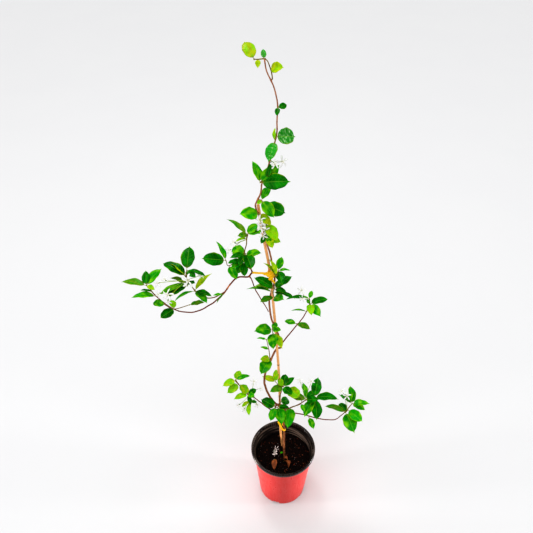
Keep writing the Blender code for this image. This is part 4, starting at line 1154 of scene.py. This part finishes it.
@dataclass
class PottingMix:
    """Peat and bark in the pot, and what lies on it (mm)."""

    pot: Pot
    top: float = 137.0
    crown: float = 1.5
    clearance: float = 0.6
    steps: int = 180
    rings: int = 52
    chips: int = 460
    perlite: int = 34
    perlite_white: float = 0.62
    coarse_lump: float = 19.0
    coarse_height: float = 1.3
    fine_lump: float = 6.0
    fine_height: float = 0.7
    peat: Colour = (0.012, 0.007, 0.006)
    chip_tints: tuple[Colour, ...] = (
        (0.018, 0.009, 0.008), (0.012, 0.008, 0.007), (0.110, 0.034, 0.018), (0.014, 0.008, 0.007),
        (0.050, 0.018, 0.012), (0.014, 0.009, 0.008), (0.190, 0.080, 0.045))
    rng: np.random.Generator = field(default_factory=lambda: generator("potting mix"))

    def height(self, flat: Array) -> Array:
        """The height of the ground: a low crown, 1 - share^2, with two sizes of random lumps.

        Args:
            flat: (..., 2) places.

        Returns:
            The height at each place.
        """
        share = np.linalg.norm(flat, axis=-1) / self.pot.inner(self.top)
        level = self.top + self.crown * (1 - share ** 2)
        coarse = waves(flat, self.coarse_lump, generator("coarse ground"), 14)
        fine = waves(flat, self.fine_lump, generator("fine ground"), 14)
        lumps = self.coarse_height * coarse + self.fine_height * fine
        return level + lumps * np.clip((1 - share) * 9, 0, 1)

    def ground(self) -> Skin:
        """The block of mix: a plain side and underside, and a lumpy top worked out on a polar grid.

        Returns:
            The closed block.
        """
        clear = self.clearance
        bottom = self.pot.floor + 0.3
        side = [(self.pot.hub_radius, bottom), (self.pot.inner(2) - 4 - clear, bottom),
                (self.pot.inner(8) - clear, 8), (self.pot.inner(100) - clear, 100)]
        radii = np.linspace(self.pot.inner(self.top) - clear, 0.6, self.rings)
        profile = np.vstack([side, np.stack([radii, np.full(self.rings, self.top)], 1)]) * MM
        skin = turned(profile, np.array(self.peat), self.steps, np.zeros(len(profile) - 1, int))
        on_top = skin.points[:, 2] > (self.top - 1) * MM
        skin.points[on_top, 2] = self.height(skin.points[on_top, :2] / MM) * MM
        return skin

    def scatter(self, count: int, edge: float) -> Array:
        """Random places on the ground, evenly spread: the distance out goes as a square root.

        Args:
            count: How many there are.
            edge: How far they stay from the wall.

        Returns:
            The (count, 3) places, in millimetres.
        """
        reach = (self.pot.inner(self.top) - edge) * np.sqrt(self.rng.uniform(0, 1, count))
        angle = self.rng.uniform(0, 2 * math.pi, count)
        flat = np.stack([reach * np.cos(angle), reach * np.sin(angle)], 1)
        return np.column_stack([flat, self.height(flat)])

    def crumbs(self, places: Array, lengths: Array, ratio: tuple[float, float], tints: Array) -> Skin:
        """One small lump at each place: a low-sided ball with random corners, stretched and tumbled.

        Args:
            places: (n, 3), in millimetres.
            lengths: The length of each.
            ratio: Its breadth and its height, as shares of its length.
            tints: (n, 3) colours.

        Returns:
            All the lumps as one skin.
        """
        made = []
        for place, length, tint in zip(places, lengths, tints):
            radii = np.array([length, length * ratio[0], length * ratio[1]]) / 2 * MM
            turn = turn_about(2, self.rng.uniform(0, 360)) @ turn_about(1, self.rng.normal(0, 22))
            turn = turn @ turn_about(0, self.rng.normal(0, 30))
            piece = lump(np.zeros(3), radii, tint, np.eye(3), 6, 4)
            piece.points *= self.rng.uniform(0.72, 1.15, (len(piece.points), 1))
            made.append(piece.moved(turn, place * MM))
        return Skin.stacked(made)

    def build(self) -> None:
        """Makes the ground with its bark chips and perlite, and the litter."""
        places = self.scatter(self.chips, 2.5)
        lengths = self.rng.gamma(3.0, 1.0, self.chips) + 1.6
        tints = np.array(self.chip_tints)[self.rng.integers(0, len(self.chip_tints), self.chips)]
        tints = tints * self.rng.uniform(0.6, 1.3, (self.chips, 1))
        chips = self.crumbs(places, lengths, (0.55, 0.35), tints)
        chips.finish[:] = 1
        grains = self.scatter(self.perlite, 6)
        sizes = self.rng.uniform(0.7, 1.7, self.perlite)
        sizes[:3] = 2.6
        colours = np.full((self.perlite, 3), self.perlite_white)
        white = self.crumbs(grains + (0, 0, 0.4), sizes, (0.9, 0.8), colours)
        white.finish[:] = 2
        make_piece("potting_mix", Skin.stacked([self.ground(), chips, white]), (EARTH, BARK_CHIP, PERLITE),
                   ("soil",))
        self.litter()

    def litter(self) -> None:
        """Three dead leaves, a scrap of green leaf and the crumpled flowers that fell on the mix."""
        rng = generator("litter")
        flat = BladeShape(arch=0.10, droop=0.02, wave=0.10, fold=0.35)
        curled = BladeShape(arch=0.34, droop=0.30, wave=0.16, fold=0.75)
        brown = [
            blade_of(Leaf(0, -94, 0, 8, 34, 15, Tone.DEAD), np.array((-21, -12, 140.6)) * MM, flat, rng),
            blade_of(Leaf(0, -60, 6, -30, 25, 15, Tone.RUST), np.array((1, -21, 141.5)) * MM, curled, rng),
            blade_of(Leaf(0, 150, 8, 25, 15, 9, Tone.RUST), np.array((12, -20, 141.5)) * MM, curled, rng)]
        make_piece("dead_leaves", Skin.stacked(brown), (DRY_LEAF, DRY_LEAF), ("dry_leaf",))
        scrap = blade_of(Leaf(0, 10, 8, 10, 9, 5, GREEN), np.array((-8, 4, 140.8)) * MM, flat, rng)
        make_piece("green_scrap", scrap, (UPPER_LEAF, UNDER_LEAF), ())
        dropped = []
        for x, y, heading, lift, radius in ((-17, 15, 40, 70, 9), (-19, 1, 200, 60, 9), (-22, 8, -60, 40, 7)):
            # Their white and dried colours are brighter than the living flowers', to offset the shade in the
            # pot: painted light.
            flower = Flower(Bloom(x, y, 142, heading, lift, radius), crumple=1.0, white=(1.0, 0.98, 0.97))
            dropped.append(flower.face(rng))
            dropped.append(flower.tube())
        make_piece("fallen_flowers", Skin.stacked(dropped), (WILTED_PETAL, SEPAL), ("fallen_flower",))


@dataclass
class Cane:
    """The bamboo cane, with a low ring at each node (mm)."""

    radius: float = 2.9
    top_radius: float = 2.7
    node_heights: tuple[float, ...] = (122, 240, 360, 480, 602, 724, 846)
    node_reach: float = 1.8
    swelling: float = 0.15
    waist: float = 0.05
    tint: Colour = (0.95, 0.50, 0.22)
    node_tint: Colour = (0.30, 0.12, 0.05)
    course: Array = field(init=False)

    def __post_init__(self) -> None:
        """Works out the cane's middle line."""
        self.course = smooth_course(CANE_COURSE, 1.6)

    def build(self) -> None:
        """A tube whose radius swells and whose tint darkens in a bell curve at each node.

        A smaller bell curve below each node draws the cane in to a slight waist.
        """
        count = len(self.course)
        off_node = (self.course[:, 2:] / MM - np.array(self.node_heights)) / self.node_reach
        bell = np.exp(-off_node ** 2).sum(1)
        below = np.exp(-(off_node + 1.9) ** 2).sum(1)
        radii = np.linspace(self.radius, self.top_radius, count)
        radii = radii * (1 + self.swelling * bell - self.waist * below)
        tint = np.array(self.tint) + (np.array(self.node_tint) - self.tint) * np.clip(bell, 0, 1)[:, None]
        make_piece("bamboo_cane", sweep(self.course, radii * MM, tint, 24), (CANE,), ("cane",))


@dataclass
class Stems:
    """The climbing stem and its shoots (mm)."""

    cane: Cane
    step: float = 2.0
    wander: float = 0.35
    clearance: float = 0.5
    fork_reach: float = 3.0
    fork_warmth: float = 0.45
    joint_reach: float = 6.0
    swelling: float = 0.80
    flare: float = 0.5
    girth_change: float = 0.05
    courses: dict[str, Array] = field(default_factory=dict)
    radii: dict[str, Array] = field(default_factory=dict)

    def lay_out(self) -> None:
        """Works out every stem's course: the main one clear of the cane, the others from their parent."""
        for name, stem in STEMS.items():
            course = smooth_course(stem.course, self.step)
            if stem.parent is None:
                distance = (self.cane.radius + stem.thick + self.clearance) * MM
                course = clear_of(course, self.cane.course, distance)
            else:
                parent = self.courses[stem.parent]
                course = np.vstack([parent[nearest_index(parent, course[0])], course[1:]])
            share = np.linspace(0, 1, len(course))
            ends = np.sin(math.pi * share)[:, None]
            rng = generator(name)
            drift = np.stack([waves(course / MM, 34, rng) for _ in range(3)], 1) * self.wander * MM
            self.courses[name] = course + drift * ends
            self.radii[name] = (stem.thick + (stem.thin - stem.thick) * share) * MM

    def attachments(self, name: str) -> list[int]:
        """Finds where sprays, clusters and other stems grow from a stem.

        Args:
            name: The stem.

        Returns:
            The numbers of its course points that are nearest to them.
        """
        starts = [np.array(spray.twig[0]) for spray in SPRAYS.values() if spray.parent == name]
        starts += [np.array(cluster.hub) for cluster in FLOWERS.values() if cluster.parent == name]
        starts += [np.array(stem.course[0]) for stem in STEMS.values() if stem.parent == name]
        return [nearest_index(self.courses[name], start * MM) for start in starts]

    def build(self) -> None:
        """Sweeps each stem, swollen and warmer in colour where something grows from it.

        The warmth is a bell curve round each fork and a flatter one, 1 at its middle, round each orange
        joint. The swelling goes with warmth times 1 - warmth, and a side shoot flares at its foot.
        """
        for name, stem in STEMS.items():
            course, radii = self.courses[name], self.radii[name]
            lengths = np.cumsum(np.linalg.norm(np.diff(course, axis=0, prepend=course[:1]), axis=1)) / MM
            bell = np.zeros(len(course))
            for i in self.attachments(name):
                bell += np.exp(-((lengths - lengths[i]) / self.fork_reach) ** 2)
            bell = self.fork_warmth * np.clip(bell, 0, 1)
            for joint in stem.joints:
                i = nearest_index(course, np.array(joint) * MM)
                bell = np.maximum(bell, np.exp(-((lengths - lengths[i]) / self.joint_reach) ** 4))
            flare = self.flare * np.exp(-lengths / self.fork_reach) if stem.parent else 0.0
            lower, upper = np.array(stem.lower.value), np.array(stem.upper.value)
            share = np.linspace(0, 1, len(course))[:, None]
            tint = lower + (upper - lower) * share
            tint = tint + (np.array(Bark.ORANGE.value) - tint) * bell[:, None]
            rough = 1 + self.girth_change * waves(course / MM, 9, generator(name + " girth"))
            girth = radii * rough * (1 + self.swelling * bell * (1 - bell) + flare)
            skin = sweep(course, girth, tint, 12)
            make_piece(name + "_bark", skin, (BARK,), (name,))


@dataclass
class Ties:
    """The yellow ribbons that hold the stem to the cane (mm)."""

    cane: Cane
    stems: Stems
    breadth: float = 2.0
    flat: float = 0.42
    stem_radius: float = 2.6
    half_turn_steps: int = 12
    knots: tuple[tuple[Point, Point, float], ...] = (
        ((-37, -11, 769), (7.5, 4.2, 6.5), 20), ((-34, -11, 761), (4.4, 3.6, 7.5), 35),
        ((-43, -12, 772), (7.0, 3.2, 3.4), -10), ((-33, -10, 771), (4.0, 3.6, 6.5), -20))

    def loop(self, height: float, spread: float, tilt: float) -> Skin:
        """A belt round the cane and the main stem: two half circles, tilted and lifted a little.

        Args:
            height: How high it is at the cane.
            spread: How far its middle stays off both.
            tilt: How much it rises with X.

        Returns:
            The closed belt.
        """
        places = [course[nearest_index(course[:, 2:], np.array([height * MM]))]
                  for course in (self.cane.course, self.stems.courses["stem_main"])]
        across = places[1] - places[0]
        facing = math.atan2(across[1], across[0])
        steps = self.half_turn_steps
        turns = np.concatenate([facing + np.linspace(0.5, 1.5, steps) * math.pi,
                                facing + np.linspace(-0.5, 0.5, steps) * math.pi, [facing + math.pi / 2]])
        middles = np.vstack([np.repeat(places[:1], steps, 0), np.repeat(places[1:], steps, 0), places[:1]])
        round_cane, round_stem = self.cane.radius + spread, self.stem_radius + spread
        reaches = np.repeat([round_cane, round_stem, round_cane], [steps, steps, 1])
        belt = middles + (reaches * MM)[:, None] * np.stack([np.cos(turns), np.sin(turns), 0 * turns], 1)
        belt[:, 2] = height * MM + (belt[:, 0] - places[0][0]) * tilt
        return sweep(belt, self.breadth * MM, np.ones(3), 10, self.flat, np.array((0.0, 0.0, 1.0)))

    def strap(self, points: Sequence[Point], broad: Point) -> Skin:
        """A length of ribbon through points in millimetres, its breadth facing one way."""
        course = smooth_course(points, 1.5)
        return sweep(course, self.breadth * MM, np.ones(3), 10, self.flat, np.array(broad, float))

    def build(self) -> None:
        """The middle tie has three turns, a knot and two ends; the lower one is a steep twist."""
        middle = [self.loop(757, 0.7, 0.25), self.loop(762, 1.2, -0.35), self.loop(768, 0.8, 0.5)]
        for place, radii, turn in self.knots:
            middle.append(lump(np.array(place) * MM, np.array(radii) * MM, np.ones(3), turn_about(1, turn)))
        ends = (((-37, -9, 766), (-44, -14, 774), (-52, -16, 777), (-60, -17, 778), (-70, -17, 779)),
                ((-36, -9, 764), (-33, -10, 758), (-30, -10, 751), (-27, -9, 745)))
        middle += [self.strap(ends[0], (0, 0.3, 1)), self.strap(ends[1], (1, 0, 0.2))]
        make_piece("middle_tie_ribbon", Skin.stacked(middle), (RIBBON,), ("tie_middle",))
        lower = [self.loop(243, 0.8, -0.7), self.loop(247, 1.3, -1.1),
                 self.strap(((-14, 15, 262), (-10, 11, 255), (-6, 8, 246), (-1, 7, 237), (3, 9, 231)),
                            (1, 0, 0.4))]
        make_piece("lower_tie_ribbon", Skin.stacked(lower), (RIBBON,), ("tie_lower",))


@dataclass(frozen=True)
class BladeShape:
    """How a leaf blade bends, and its outline.

    The arch, droop and sickle are shares of its length, the wave and fold shares of its half width, and
    the twist is in degrees. The rise and fall are the powers of its outline near the foot and the tip,
    and the body is where its oval ends, as a share of the blade.
    """

    arch: float
    droop: float
    wave: float
    fold: float
    twist: float = 0.0
    sickle: float = 0.0
    rise: float = 0.50
    fall: float = 0.62
    body: float = 0.93


@dataclass(frozen=True)
class Mottle:
    """How a leaf's next tone lies on it: the patches' size, how common they are, and their most."""

    patch: float = 2.0
    level: float = 0.20
    most: float = 0.90


PLAIN_MOTTLE = Mottle()
# Small, sparse patches of painted glare, for leaves that carry glare in their colour.
PAINTED_GLARE_MOTTLE = Mottle(patch=0.42, level=-0.16)
PETIOLE_SHARE = 0.09
PETIOLE_RADIUS = 0.55
BLADE_THICKNESS = 0.26
SECTION = np.array((1, 0.87, 0.63, 0.34, 0.10, 0, -0.10, -0.34, -0.63, -0.87, -1))
ACROSS = np.concatenate([SECTION, SECTION[-2:0:-1]])
SIDE = np.concatenate([[0], np.ones(9), [0], -np.ones(9)])


def blade_outline(along: Array, shape: BladeShape) -> Array:
    """The half width of a blade whose widest part is about 1.

    With p along the blade and q = p / body, its oval goes as q^rise (1 - q)^fall. A drawn-out point that
    goes as p^3 (1 - p) takes over from it at the tip: the two join as the fourth root of the sum of
    their fourth powers.

    Args:
        along: Places from 0 at the foot of the blade to 1 at its tip.
        shape: The blade's shape.

    Returns:
        The half width at each place.
    """
    rise, fall = shape.rise, shape.fall
    widest = rise / (rise + fall)
    q = np.clip(along / shape.body, 0, 1)
    oval = q ** rise * (1 - q) ** fall / (widest ** rise * (1 - widest) ** fall)
    return (oval ** 4 + (1.5 * along ** 3 * (1 - along)) ** 4) ** 0.25


def blade_tint(leaf: Leaf, along: Array, across: Array, rng: np.random.Generator) -> Array:
    """The leaf's tone with blotches of the next one, turning to the colour of young bark on the stalk.

    Args:
        leaf: The leaf.
        along: (n, 1) places from 0 at the foot of the blade to 1 at its tip.
        across: (1, k) places from -1 to 1 across it.
        rng: What the tone's strength and the blotches are drawn from.

    Returns:
        The (n, k, 3) colours.
    """
    tone = np.array(leaf.tone.value) * rng.uniform(0.82, 1.22)
    other = np.array(NEXT_TONE[leaf.tone].value)
    places = np.stack(np.broadcast_arrays(along * 2.2, across * 0.9), -1)
    # Leaves of the glare-patched tone take small patches of painted glare instead of plain blotches.
    mottle = PAINTED_GLARE_MOTTLE if leaf.tone is GREEN_WITH_PAINTED_GLARE else PLAIN_MOTTLE
    blotch = mottle.level + 0.80 * waves(places, mottle.patch, rng) + rng.uniform(-0.18, 0.18)
    tint = tone + (other - tone) * np.clip(blotch, 0, mottle.most)[..., None]
    return tint + (np.array(Bark.YOUNG.value) - tint) * np.exp(-along * 30)[..., None]


def blade_of(leaf: Leaf, base: Array, shape: BladeShape, rng: np.random.Generator) -> Skin:
    """A leaf with its stalk, as lens-shaped sections carried from the twig to the tip.

    Across it the blade folds up from the midrib, its margin waves, and it swells between the side veins,
    which is its quilt. Along it the blade arches as s(1 - s), its tip droops with the square of the way
    past its middle, and it twists and bends a little to one side. Its stalk thins out into the blade.

    Args:
        leaf: Where the leaf points, its size and its tone.
        base: Where its stalk starts, in metres.
        shape: How it bends.
        rng: What its small differences are drawn from.

    Returns:
        The leaf, its upper face in finish 0 and its underside in finish 1.
    """
    stalk = np.array((0.0, 0.35, 0.75)) * PETIOLE_SHARE
    blade = np.concatenate([np.linspace(0, 0.88, 23), (0.905, 0.925, 0.945, 0.965, 0.985, 0.996)])
    along = np.concatenate([np.zeros(len(stalk)), blade])
    s = np.concatenate([stalk, PETIOLE_SHARE + (1 - PETIOLE_SHARE) * blade])
    v, side, p = ACROSS[None, :], SIDE[None, :], along[:, None]
    half_blade = leaf.width / 2 * blade_outline(along, shape)
    ripple = 1 + 0.025 * np.sin(2 * math.pi * (3.1 * along + rng.uniform()))
    stalk_radius = PETIOLE_RADIUS * (1 - s) ** 2
    half = np.maximum(half_blade * ripple, stalk_radius)[:, None]
    body = half_blade[:, None]
    crease = shape.fold * body * (np.sqrt(v ** 2 + 0.012) - 0.11)
    phase = rng.uniform(0, 2 * math.pi)
    margin = shape.wave * body * v ** 2 * np.sin(2 * math.pi * 1.7 * p + phase + 1.9 * (v > 0))
    veins = VEIN_PAIRS * p - VEIN_SLANT * np.abs(v)
    quilt = 0.035 * body * np.sin(math.pi * np.abs(v)) * np.cos(2 * math.pi * veins)
    rib = np.where(side > 0, -0.16, -0.30) * np.exp(-(v * half / 0.6) ** 2)
    rib = rib * np.clip(p * 8, 0, 1) * (1 - p)
    blade_thick = BLADE_THICKNESS * np.clip(along * 20, 0, 1) * (1 - along ** 6)
    thick = (stalk_radius * np.exp(-along * 14) + blade_thick)[:, None]
    lens = side * thick * np.sqrt(np.clip(1 - v ** 2, 0, 1))
    bow = leaf.length * (4 * shape.arch * s * (1 - s) - shape.droop * np.clip(s - 0.5, 0, 1) ** 2)
    x = np.broadcast_to(s[:, None] * leaf.length, (len(s), len(ACROSS)))
    y = v * half + (shape.sickle * leaf.length * s ** 2)[:, None]
    z = crease + margin + quilt + rib + lens
    spin = np.radians(shape.twist) * p
    local = np.stack([x, y * np.cos(spin) - z * np.sin(spin),
                      y * np.sin(spin) + z * np.cos(spin) + bow[:, None]], -1)
    rings = local * MM @ frame_of(leaf.heading, leaf.lift, leaf.roll).T + base
    chart = np.stack(np.broadcast_arrays(0.5 + v / 2, p), -1)
    finish = np.where(np.arange(len(ACROSS)) < len(SECTION) - 1, 0, 1)
    return loft(rings, blade_tint(leaf, p, v, rng), chart, finish)


def random_shape(rng: np.random.Generator, leaf: Leaf) -> BladeShape:
    """A blade shape a little unlike every other: longer leaves droop more and stout ones are blunter.

    Args:
        rng: What the shape is drawn from.
        leaf: The leaf that it is for.

    Returns:
        The shape.
    """
    length = leaf.length
    stout = min(leaf.width / length, 0.75)
    return BladeShape(arch=rng.uniform(0.03, 0.075), droop=rng.uniform(0.05, 0.30) * min(1.0, length / 40),
                      wave=rng.uniform(0.05, 0.13), fold=rng.uniform(0.16, 0.34),
                      twist=rng.uniform(-16, 16), sickle=rng.uniform(-0.05, 0.05),
                      rise=rng.uniform(0.44, 0.68), fall=rng.uniform(0.98, 1.16) - 0.80 * stout,
                      body=rng.uniform(0.90, 0.95))


@dataclass
class Foliage:
    """The leaves on their twigs (mm)."""

    stems: Stems
    twig_radius: float = 0.85
    fullness: float = 1.05

    def twig(self, spray: Spray, course: Array) -> list[Skin]:
        """A twig from the middle of its stem to its last point, with a bud at its end.

        Args:
            spray: The spray that it carries.
            course: Its stem's course.

        Returns:
            The twig and the bud.
        """
        points = np.array(spray.twig, float)
        start = course[nearest_index(course, points[0] * MM)] / MM
        line = smooth_course([tuple(start), *map(tuple, points)], 1.5)
        radii = np.linspace(self.twig_radius * 1.25, self.twig_radius * 0.8, len(line)) * MM
        tint = np.array(Bark.YOUNG.value) * 0.6 + np.array(Bark.PURPLE.value) * 0.4
        bud = lump(line[-1], np.array((1.0, 1.0, 1.7)) * MM, np.array(Bark.YOUNG.value), np.eye(3), 8, 6)
        return [sweep(line, radii, tint, 8), bud]

    def build(self) -> None:
        """Makes each spray as one piece, its leaves in the order of the table."""
        for name, spray in SPRAYS.items():
            rng = generator(name)
            parts = self.twig(spray, self.stems.courses[spray.parent])
            for part in parts:
                part.finish[:] = 2
            for leaf in spray.leaves:
                base = np.array(spray.twig[leaf.at]) * MM
                full = replace(leaf, length=leaf.length * self.fullness, width=leaf.width * self.fullness)
                parts.append(blade_of(full, base, random_shape(rng, leaf), rng))
            make_piece(name + "_foliage", Skin.stacked(parts), (UPPER_LEAF, UNDER_LEAF, BARK), (name,))


@dataclass
class Flower:
    """A star jasmine flower: five petals that turn like a pinwheel on a slender tube (mm)."""

    bloom: Bloom
    crumple: float = 0.0
    petals: int = 5
    tube_length: float = 7.0
    propeller: float = 24.0
    pinwheel: float = 0.24
    white: Colour = (0.80, 0.80, 0.78)
    # The throat's cream colour, darkened as painted shade where the petals meet the tube.
    throat: Colour = (0.72, 0.66, 0.30)
    # Set bright to offset the shade on fallen flowers in the pot: painted light as well as the wilted tint.
    dried: Colour = (1.00, 0.80, 0.76)
    tube_green: Colour = (0.55, 0.62, 0.35)
    cup_green: Colour = (0.10, 0.28, 0.03)
    cup_radii: tuple[float, ...] = (0.4, 0.9, 1.1, 1.1, 1.2, 1.5)

    def frame(self) -> Array:
        """The matrix whose first column is the way that the flower faces."""
        return frame_of(self.bloom.heading, self.bloom.lift)

    def middle(self) -> Array:
        """The middle of the flower's face, in metres."""
        return np.array((self.bloom.x, self.bloom.y, self.bloom.z)) * MM

    def petal(self, rng: np.random.Generator) -> Skin:
        """One petal along +Z on a face that looks along +X.

        With s from 0 at the throat to 1 at the tip, its half width grows as s^0.8 and closes as the
        square root of 1 - s^5, it sweeps sideways with s squared, and it twists like a propeller blade.

        Args:
            rng: What its crumpling and its dried colour are drawn from.

        Returns:
            The closed petal.
        """
        s = np.concatenate([np.linspace(0, 0.86, 9), (0.93, 0.98, 1.0)])
        radius = self.bloom.radius
        half = radius * (0.06 + 0.17 * s ** 0.8) * np.sqrt(np.clip(1 - s ** 5, 0.002, 1))
        angle = np.arange(12) * 2 * math.pi / 12
        v, side = np.cos(angle)[None, :], np.sin(angle)[None, :]
        spin = (math.radians(self.propeller) * (1 - 0.3 * s) + self.crumple * rng.normal(0, 0.5))[:, None]
        curl = self.crumple * rng.uniform(0.3, 0.9)
        out = radius * (0.10 + 0.90 * s * (1 - 0.35 * curl * s))
        sideways = radius * self.pinwheel * s ** 2
        forward = radius * (0.06 * np.sin(math.pi * s) - 0.16 * s ** 2 + curl * s ** 2
                            + 0.2 * self.crumple * np.sin(7 * s + rng.uniform(0, 6)))
        breadth = half[:, None] * v
        thick = 0.16 * side * np.ones_like(breadth) + 0.18 * breadth ** 2 / half.max()
        rings = np.stack([forward[:, None] + breadth * np.sin(spin) + thick * np.cos(spin),
                          sideways[:, None] + breadth * np.cos(spin) - thick * np.sin(spin),
                          np.broadcast_to(out[:, None], breadth.shape)], -1)
        white, throat = np.array(self.white), np.array(self.throat)
        dried = np.array(self.dried) * rng.uniform(0.9, 1.2)
        # Towards the throat the petal turns to the throat colour: its own cream, and painted shade.
        tint = white + (throat - white) * np.exp(-s * 11)[:, None]
        tint = tint + (dried - tint) * self.crumple * rng.uniform(0.2, 0.8)
        chart = np.stack(np.broadcast_arrays(0.5 + v / 2, s[:, None]), -1)
        return loft(rings * MM, tint[:, None], chart)

    def face(self, rng: np.random.Generator) -> Skin:
        """All the petals, evenly spaced round the throat, turned and put in place.

        Args:
            rng: What the first one's turn and each petal are drawn from.

        Returns:
            The petals as one skin.
        """
        start = rng.uniform(0, 72)
        parts = [self.petal(rng).moved(turn_about(0, start + 360 / self.petals * i), np.zeros(3))
                 for i in range(self.petals)]
        return Skin.stacked(parts).moved(self.frame(), self.middle())

    def tube(self) -> Skin:
        """The slender tube behind the face, with the green cup at its foot.

        Its radius swells in a bell curve a little behind the throat, and flares at the throat itself.

        Returns:
            The tube in finish 0 and the cup in finish 1.
        """
        s = np.linspace(0, 1, 12)
        line = np.stack([(s - 1) * self.tube_length, 0 * s, 0 * s], 1) * MM
        radii = (0.55 + 0.55 * np.exp(-((s - 0.72) / 0.2) ** 2) + 0.35 * (s > 0.97)) * MM
        tint = np.array(self.tube_green) + (np.array(self.white) - self.tube_green) * s[:, None]
        made = sweep(line, radii, tint, 8, broad=np.array((0.0, 0.0, 1.0)))
        cup_line = np.stack([np.linspace(-1.0, 2.4, 6) - self.tube_length, np.zeros(6), np.zeros(6)], 1) * MM
        cup = sweep(cup_line, np.array(self.cup_radii) * MM, np.array(self.cup_green), 10,
                    broad=np.array((0.0, 0.0, 1.0)))
        cup.finish[:] = 1
        return Skin.stacked([made, cup]).moved(self.frame(), self.middle())

    def foot(self) -> Array:
        """Where the stalk meets the cup, in metres."""
        return self.middle() - self.frame()[:, 0] * (self.tube_length + 0.6) * MM


@dataclass
class Blossom:
    """The flower clusters on their stalks (mm)."""

    stems: Stems
    hub_stalk_radius: float = 0.7
    stalk_radius: float = 0.45
    stalk_tint: Colour = (0.22, 0.34, 0.06)

    def stalk(self, hub: Array, foot: Array, facing: Array) -> Skin:
        """A thin stalk, a cubic Bezier curve that leaves the hub upwards and meets the cup from behind.

        Args:
            hub: Where it starts.
            foot: Where it ends.
            facing: The way that the flower faces.

        Returns:
            The closed stalk.
        """
        t = np.linspace(0, 1, 14)[:, None]
        first = hub + np.array((0, 0, 3.0)) * MM
        second = foot - facing * 5 * MM
        course = ((1 - t) ** 3 * hub + 3 * (1 - t) ** 2 * t * first + 3 * (1 - t) * t ** 2 * second
                  + t ** 3 * foot)
        return sweep(course, self.stalk_radius * MM, np.array(self.stalk_tint), 7)

    def build(self) -> None:
        """Makes each cluster as one piece."""
        for name, cluster in FLOWERS.items():
            rng = generator(name)
            hub = np.array(cluster.hub) * MM
            course = self.stems.courses[cluster.parent]
            start = course[nearest_index(course, hub)]
            line = start + (hub - start) * np.linspace(0, 1, 6)[:, None]
            green = [sweep(line, self.hub_stalk_radius * MM, np.array(self.stalk_tint), 8)]
            white = []
            for bloom in cluster.blooms:
                flower = Flower(bloom)
                white += [flower.face(rng), flower.tube()]
                green.append(self.stalk(hub, flower.foot(), flower.frame()[:, 0]))
            for part in green:
                part.finish[:] = 1
            make_piece(name + "_blossom", Skin.stacked([*white, *green]), (PETAL, SEPAL),
                       (name,) if name in CAD_NODES else ())


@dataclass(frozen=True)
class Lamp:
    """A square soft light: its place and target and its side in metres, its power and its spread."""

    name: str
    place: Point
    target: Point
    size: float
    power: float
    spread: float = 180.0


@dataclass
class Studio:
    """A plain pale floor, soft studio light and the camera."""

    floor_reach: float = 9.0
    camera_place: Point = (-0.043, -0.895, 1.523)
    camera_tilt: float = 50.31
    lens: float = 40.53
    sky: float = 0.815
    sun: float = 0.45
    sun_spread: float = 50.0
    sun_turn: Point = (15.0, -22.0, 0.0)
    lamps: tuple[Lamp, ...] = (
        Lamp("key_light", (-0.4, 0.7, 2.6), (0, 0.4, 0.5), 0.45, 7),
        Lamp("left_fill", (-0.75, -0.10, 0.17), (0, 0, 0.11), 0.14, 0.13, 24),
        Lamp("right_fill", (0.75, -0.05, 0.17), (0, 0, 0.11), 0.14, 0.14, 24))

    def floor(self) -> None:
        """A large flat floor that fills the view."""
        reach = self.floor_reach
        mesh = bpy.data.meshes.new("studio_floor")
        mesh.from_pydata([(-reach, -reach, 0), (reach, -reach, 0), (reach, reach, 0), (-reach, reach, 0)], [],
                         [(0, 1, 2, 3)])
        mesh.materials.append(FLOOR.material())
        made = bpy.data.objects.new("studio_floor", mesh)
        bpy.context.scene.collection.objects.link(made)

    def soft_light(self, lamp: Lamp) -> None:
        """A square soft light that faces its target.

        Args:
            lamp: Its place, size and power; a grid in front of a soft box narrows its spread.
        """
        light = bpy.data.lights.new(lamp.name, "AREA")
        light.size = lamp.size
        light.energy = lamp.power
        light.spread = math.radians(lamp.spread)
        made = bpy.data.objects.new(lamp.name, light)
        bpy.context.scene.collection.objects.link(made)
        made.location = lamp.place
        normal = unit(np.array(lamp.place) - np.array(lamp.target))
        side = unit(np.cross((0, 1, 0.01), normal))
        turn = np.stack([side, np.cross(normal, side), normal], 1)
        made.rotation_mode = "QUATERNION"
        made.rotation_quaternion = Matrix(turn.tolist()).to_quaternion()

    def build(self) -> None:
        """Sets up the floor, the lights, the pale surroundings and the camera."""
        self.floor()
        sun = bpy.data.lights.new("soft_sun", "SUN")
        sun.energy = self.sun
        sun.angle = math.radians(self.sun_spread)
        made = bpy.data.objects.new("soft_sun", sun)
        made.rotation_euler = tuple(math.radians(a) for a in self.sun_turn)
        bpy.context.scene.collection.objects.link(made)
        for lamp in self.lamps:
            self.soft_light(lamp)
        world = bpy.data.worlds.new("studio")
        world.use_nodes = True
        world.node_tree.nodes["Background"].inputs["Strength"].default_value = self.sky
        world.node_tree.nodes["Background"].inputs["Color"].default_value = (1, 1, 1, 1)
        world.cycles_visibility.glossy = False
        bpy.context.scene.world = world
        bpy.context.scene.view_settings.view_transform = "Standard"
        bpy.context.scene.view_settings.look = "High Contrast"
        data = bpy.data.cameras.new("camera")
        data.sensor_width = 36
        data.lens = self.lens
        camera = bpy.data.objects.new("camera", data)
        camera.location = self.camera_place
        camera.rotation_euler = (math.radians(self.camera_tilt), 0, 0)
        bpy.context.scene.collection.objects.link(camera)
        bpy.context.scene.camera = camera


def main() -> None:
    """Builds every sub-assembly in order."""
    Studio().build()
    pot = Pot()
    pot.build()
    PottingMix(pot).build()
    cane = Cane()
    cane.build()
    stems = Stems(cane)
    stems.lay_out()
    stems.build()
    Ties(cane, stems).build()
    Foliage(stems).build()
    Blossom(stems).build()


if __name__ == "__main__":
    main()
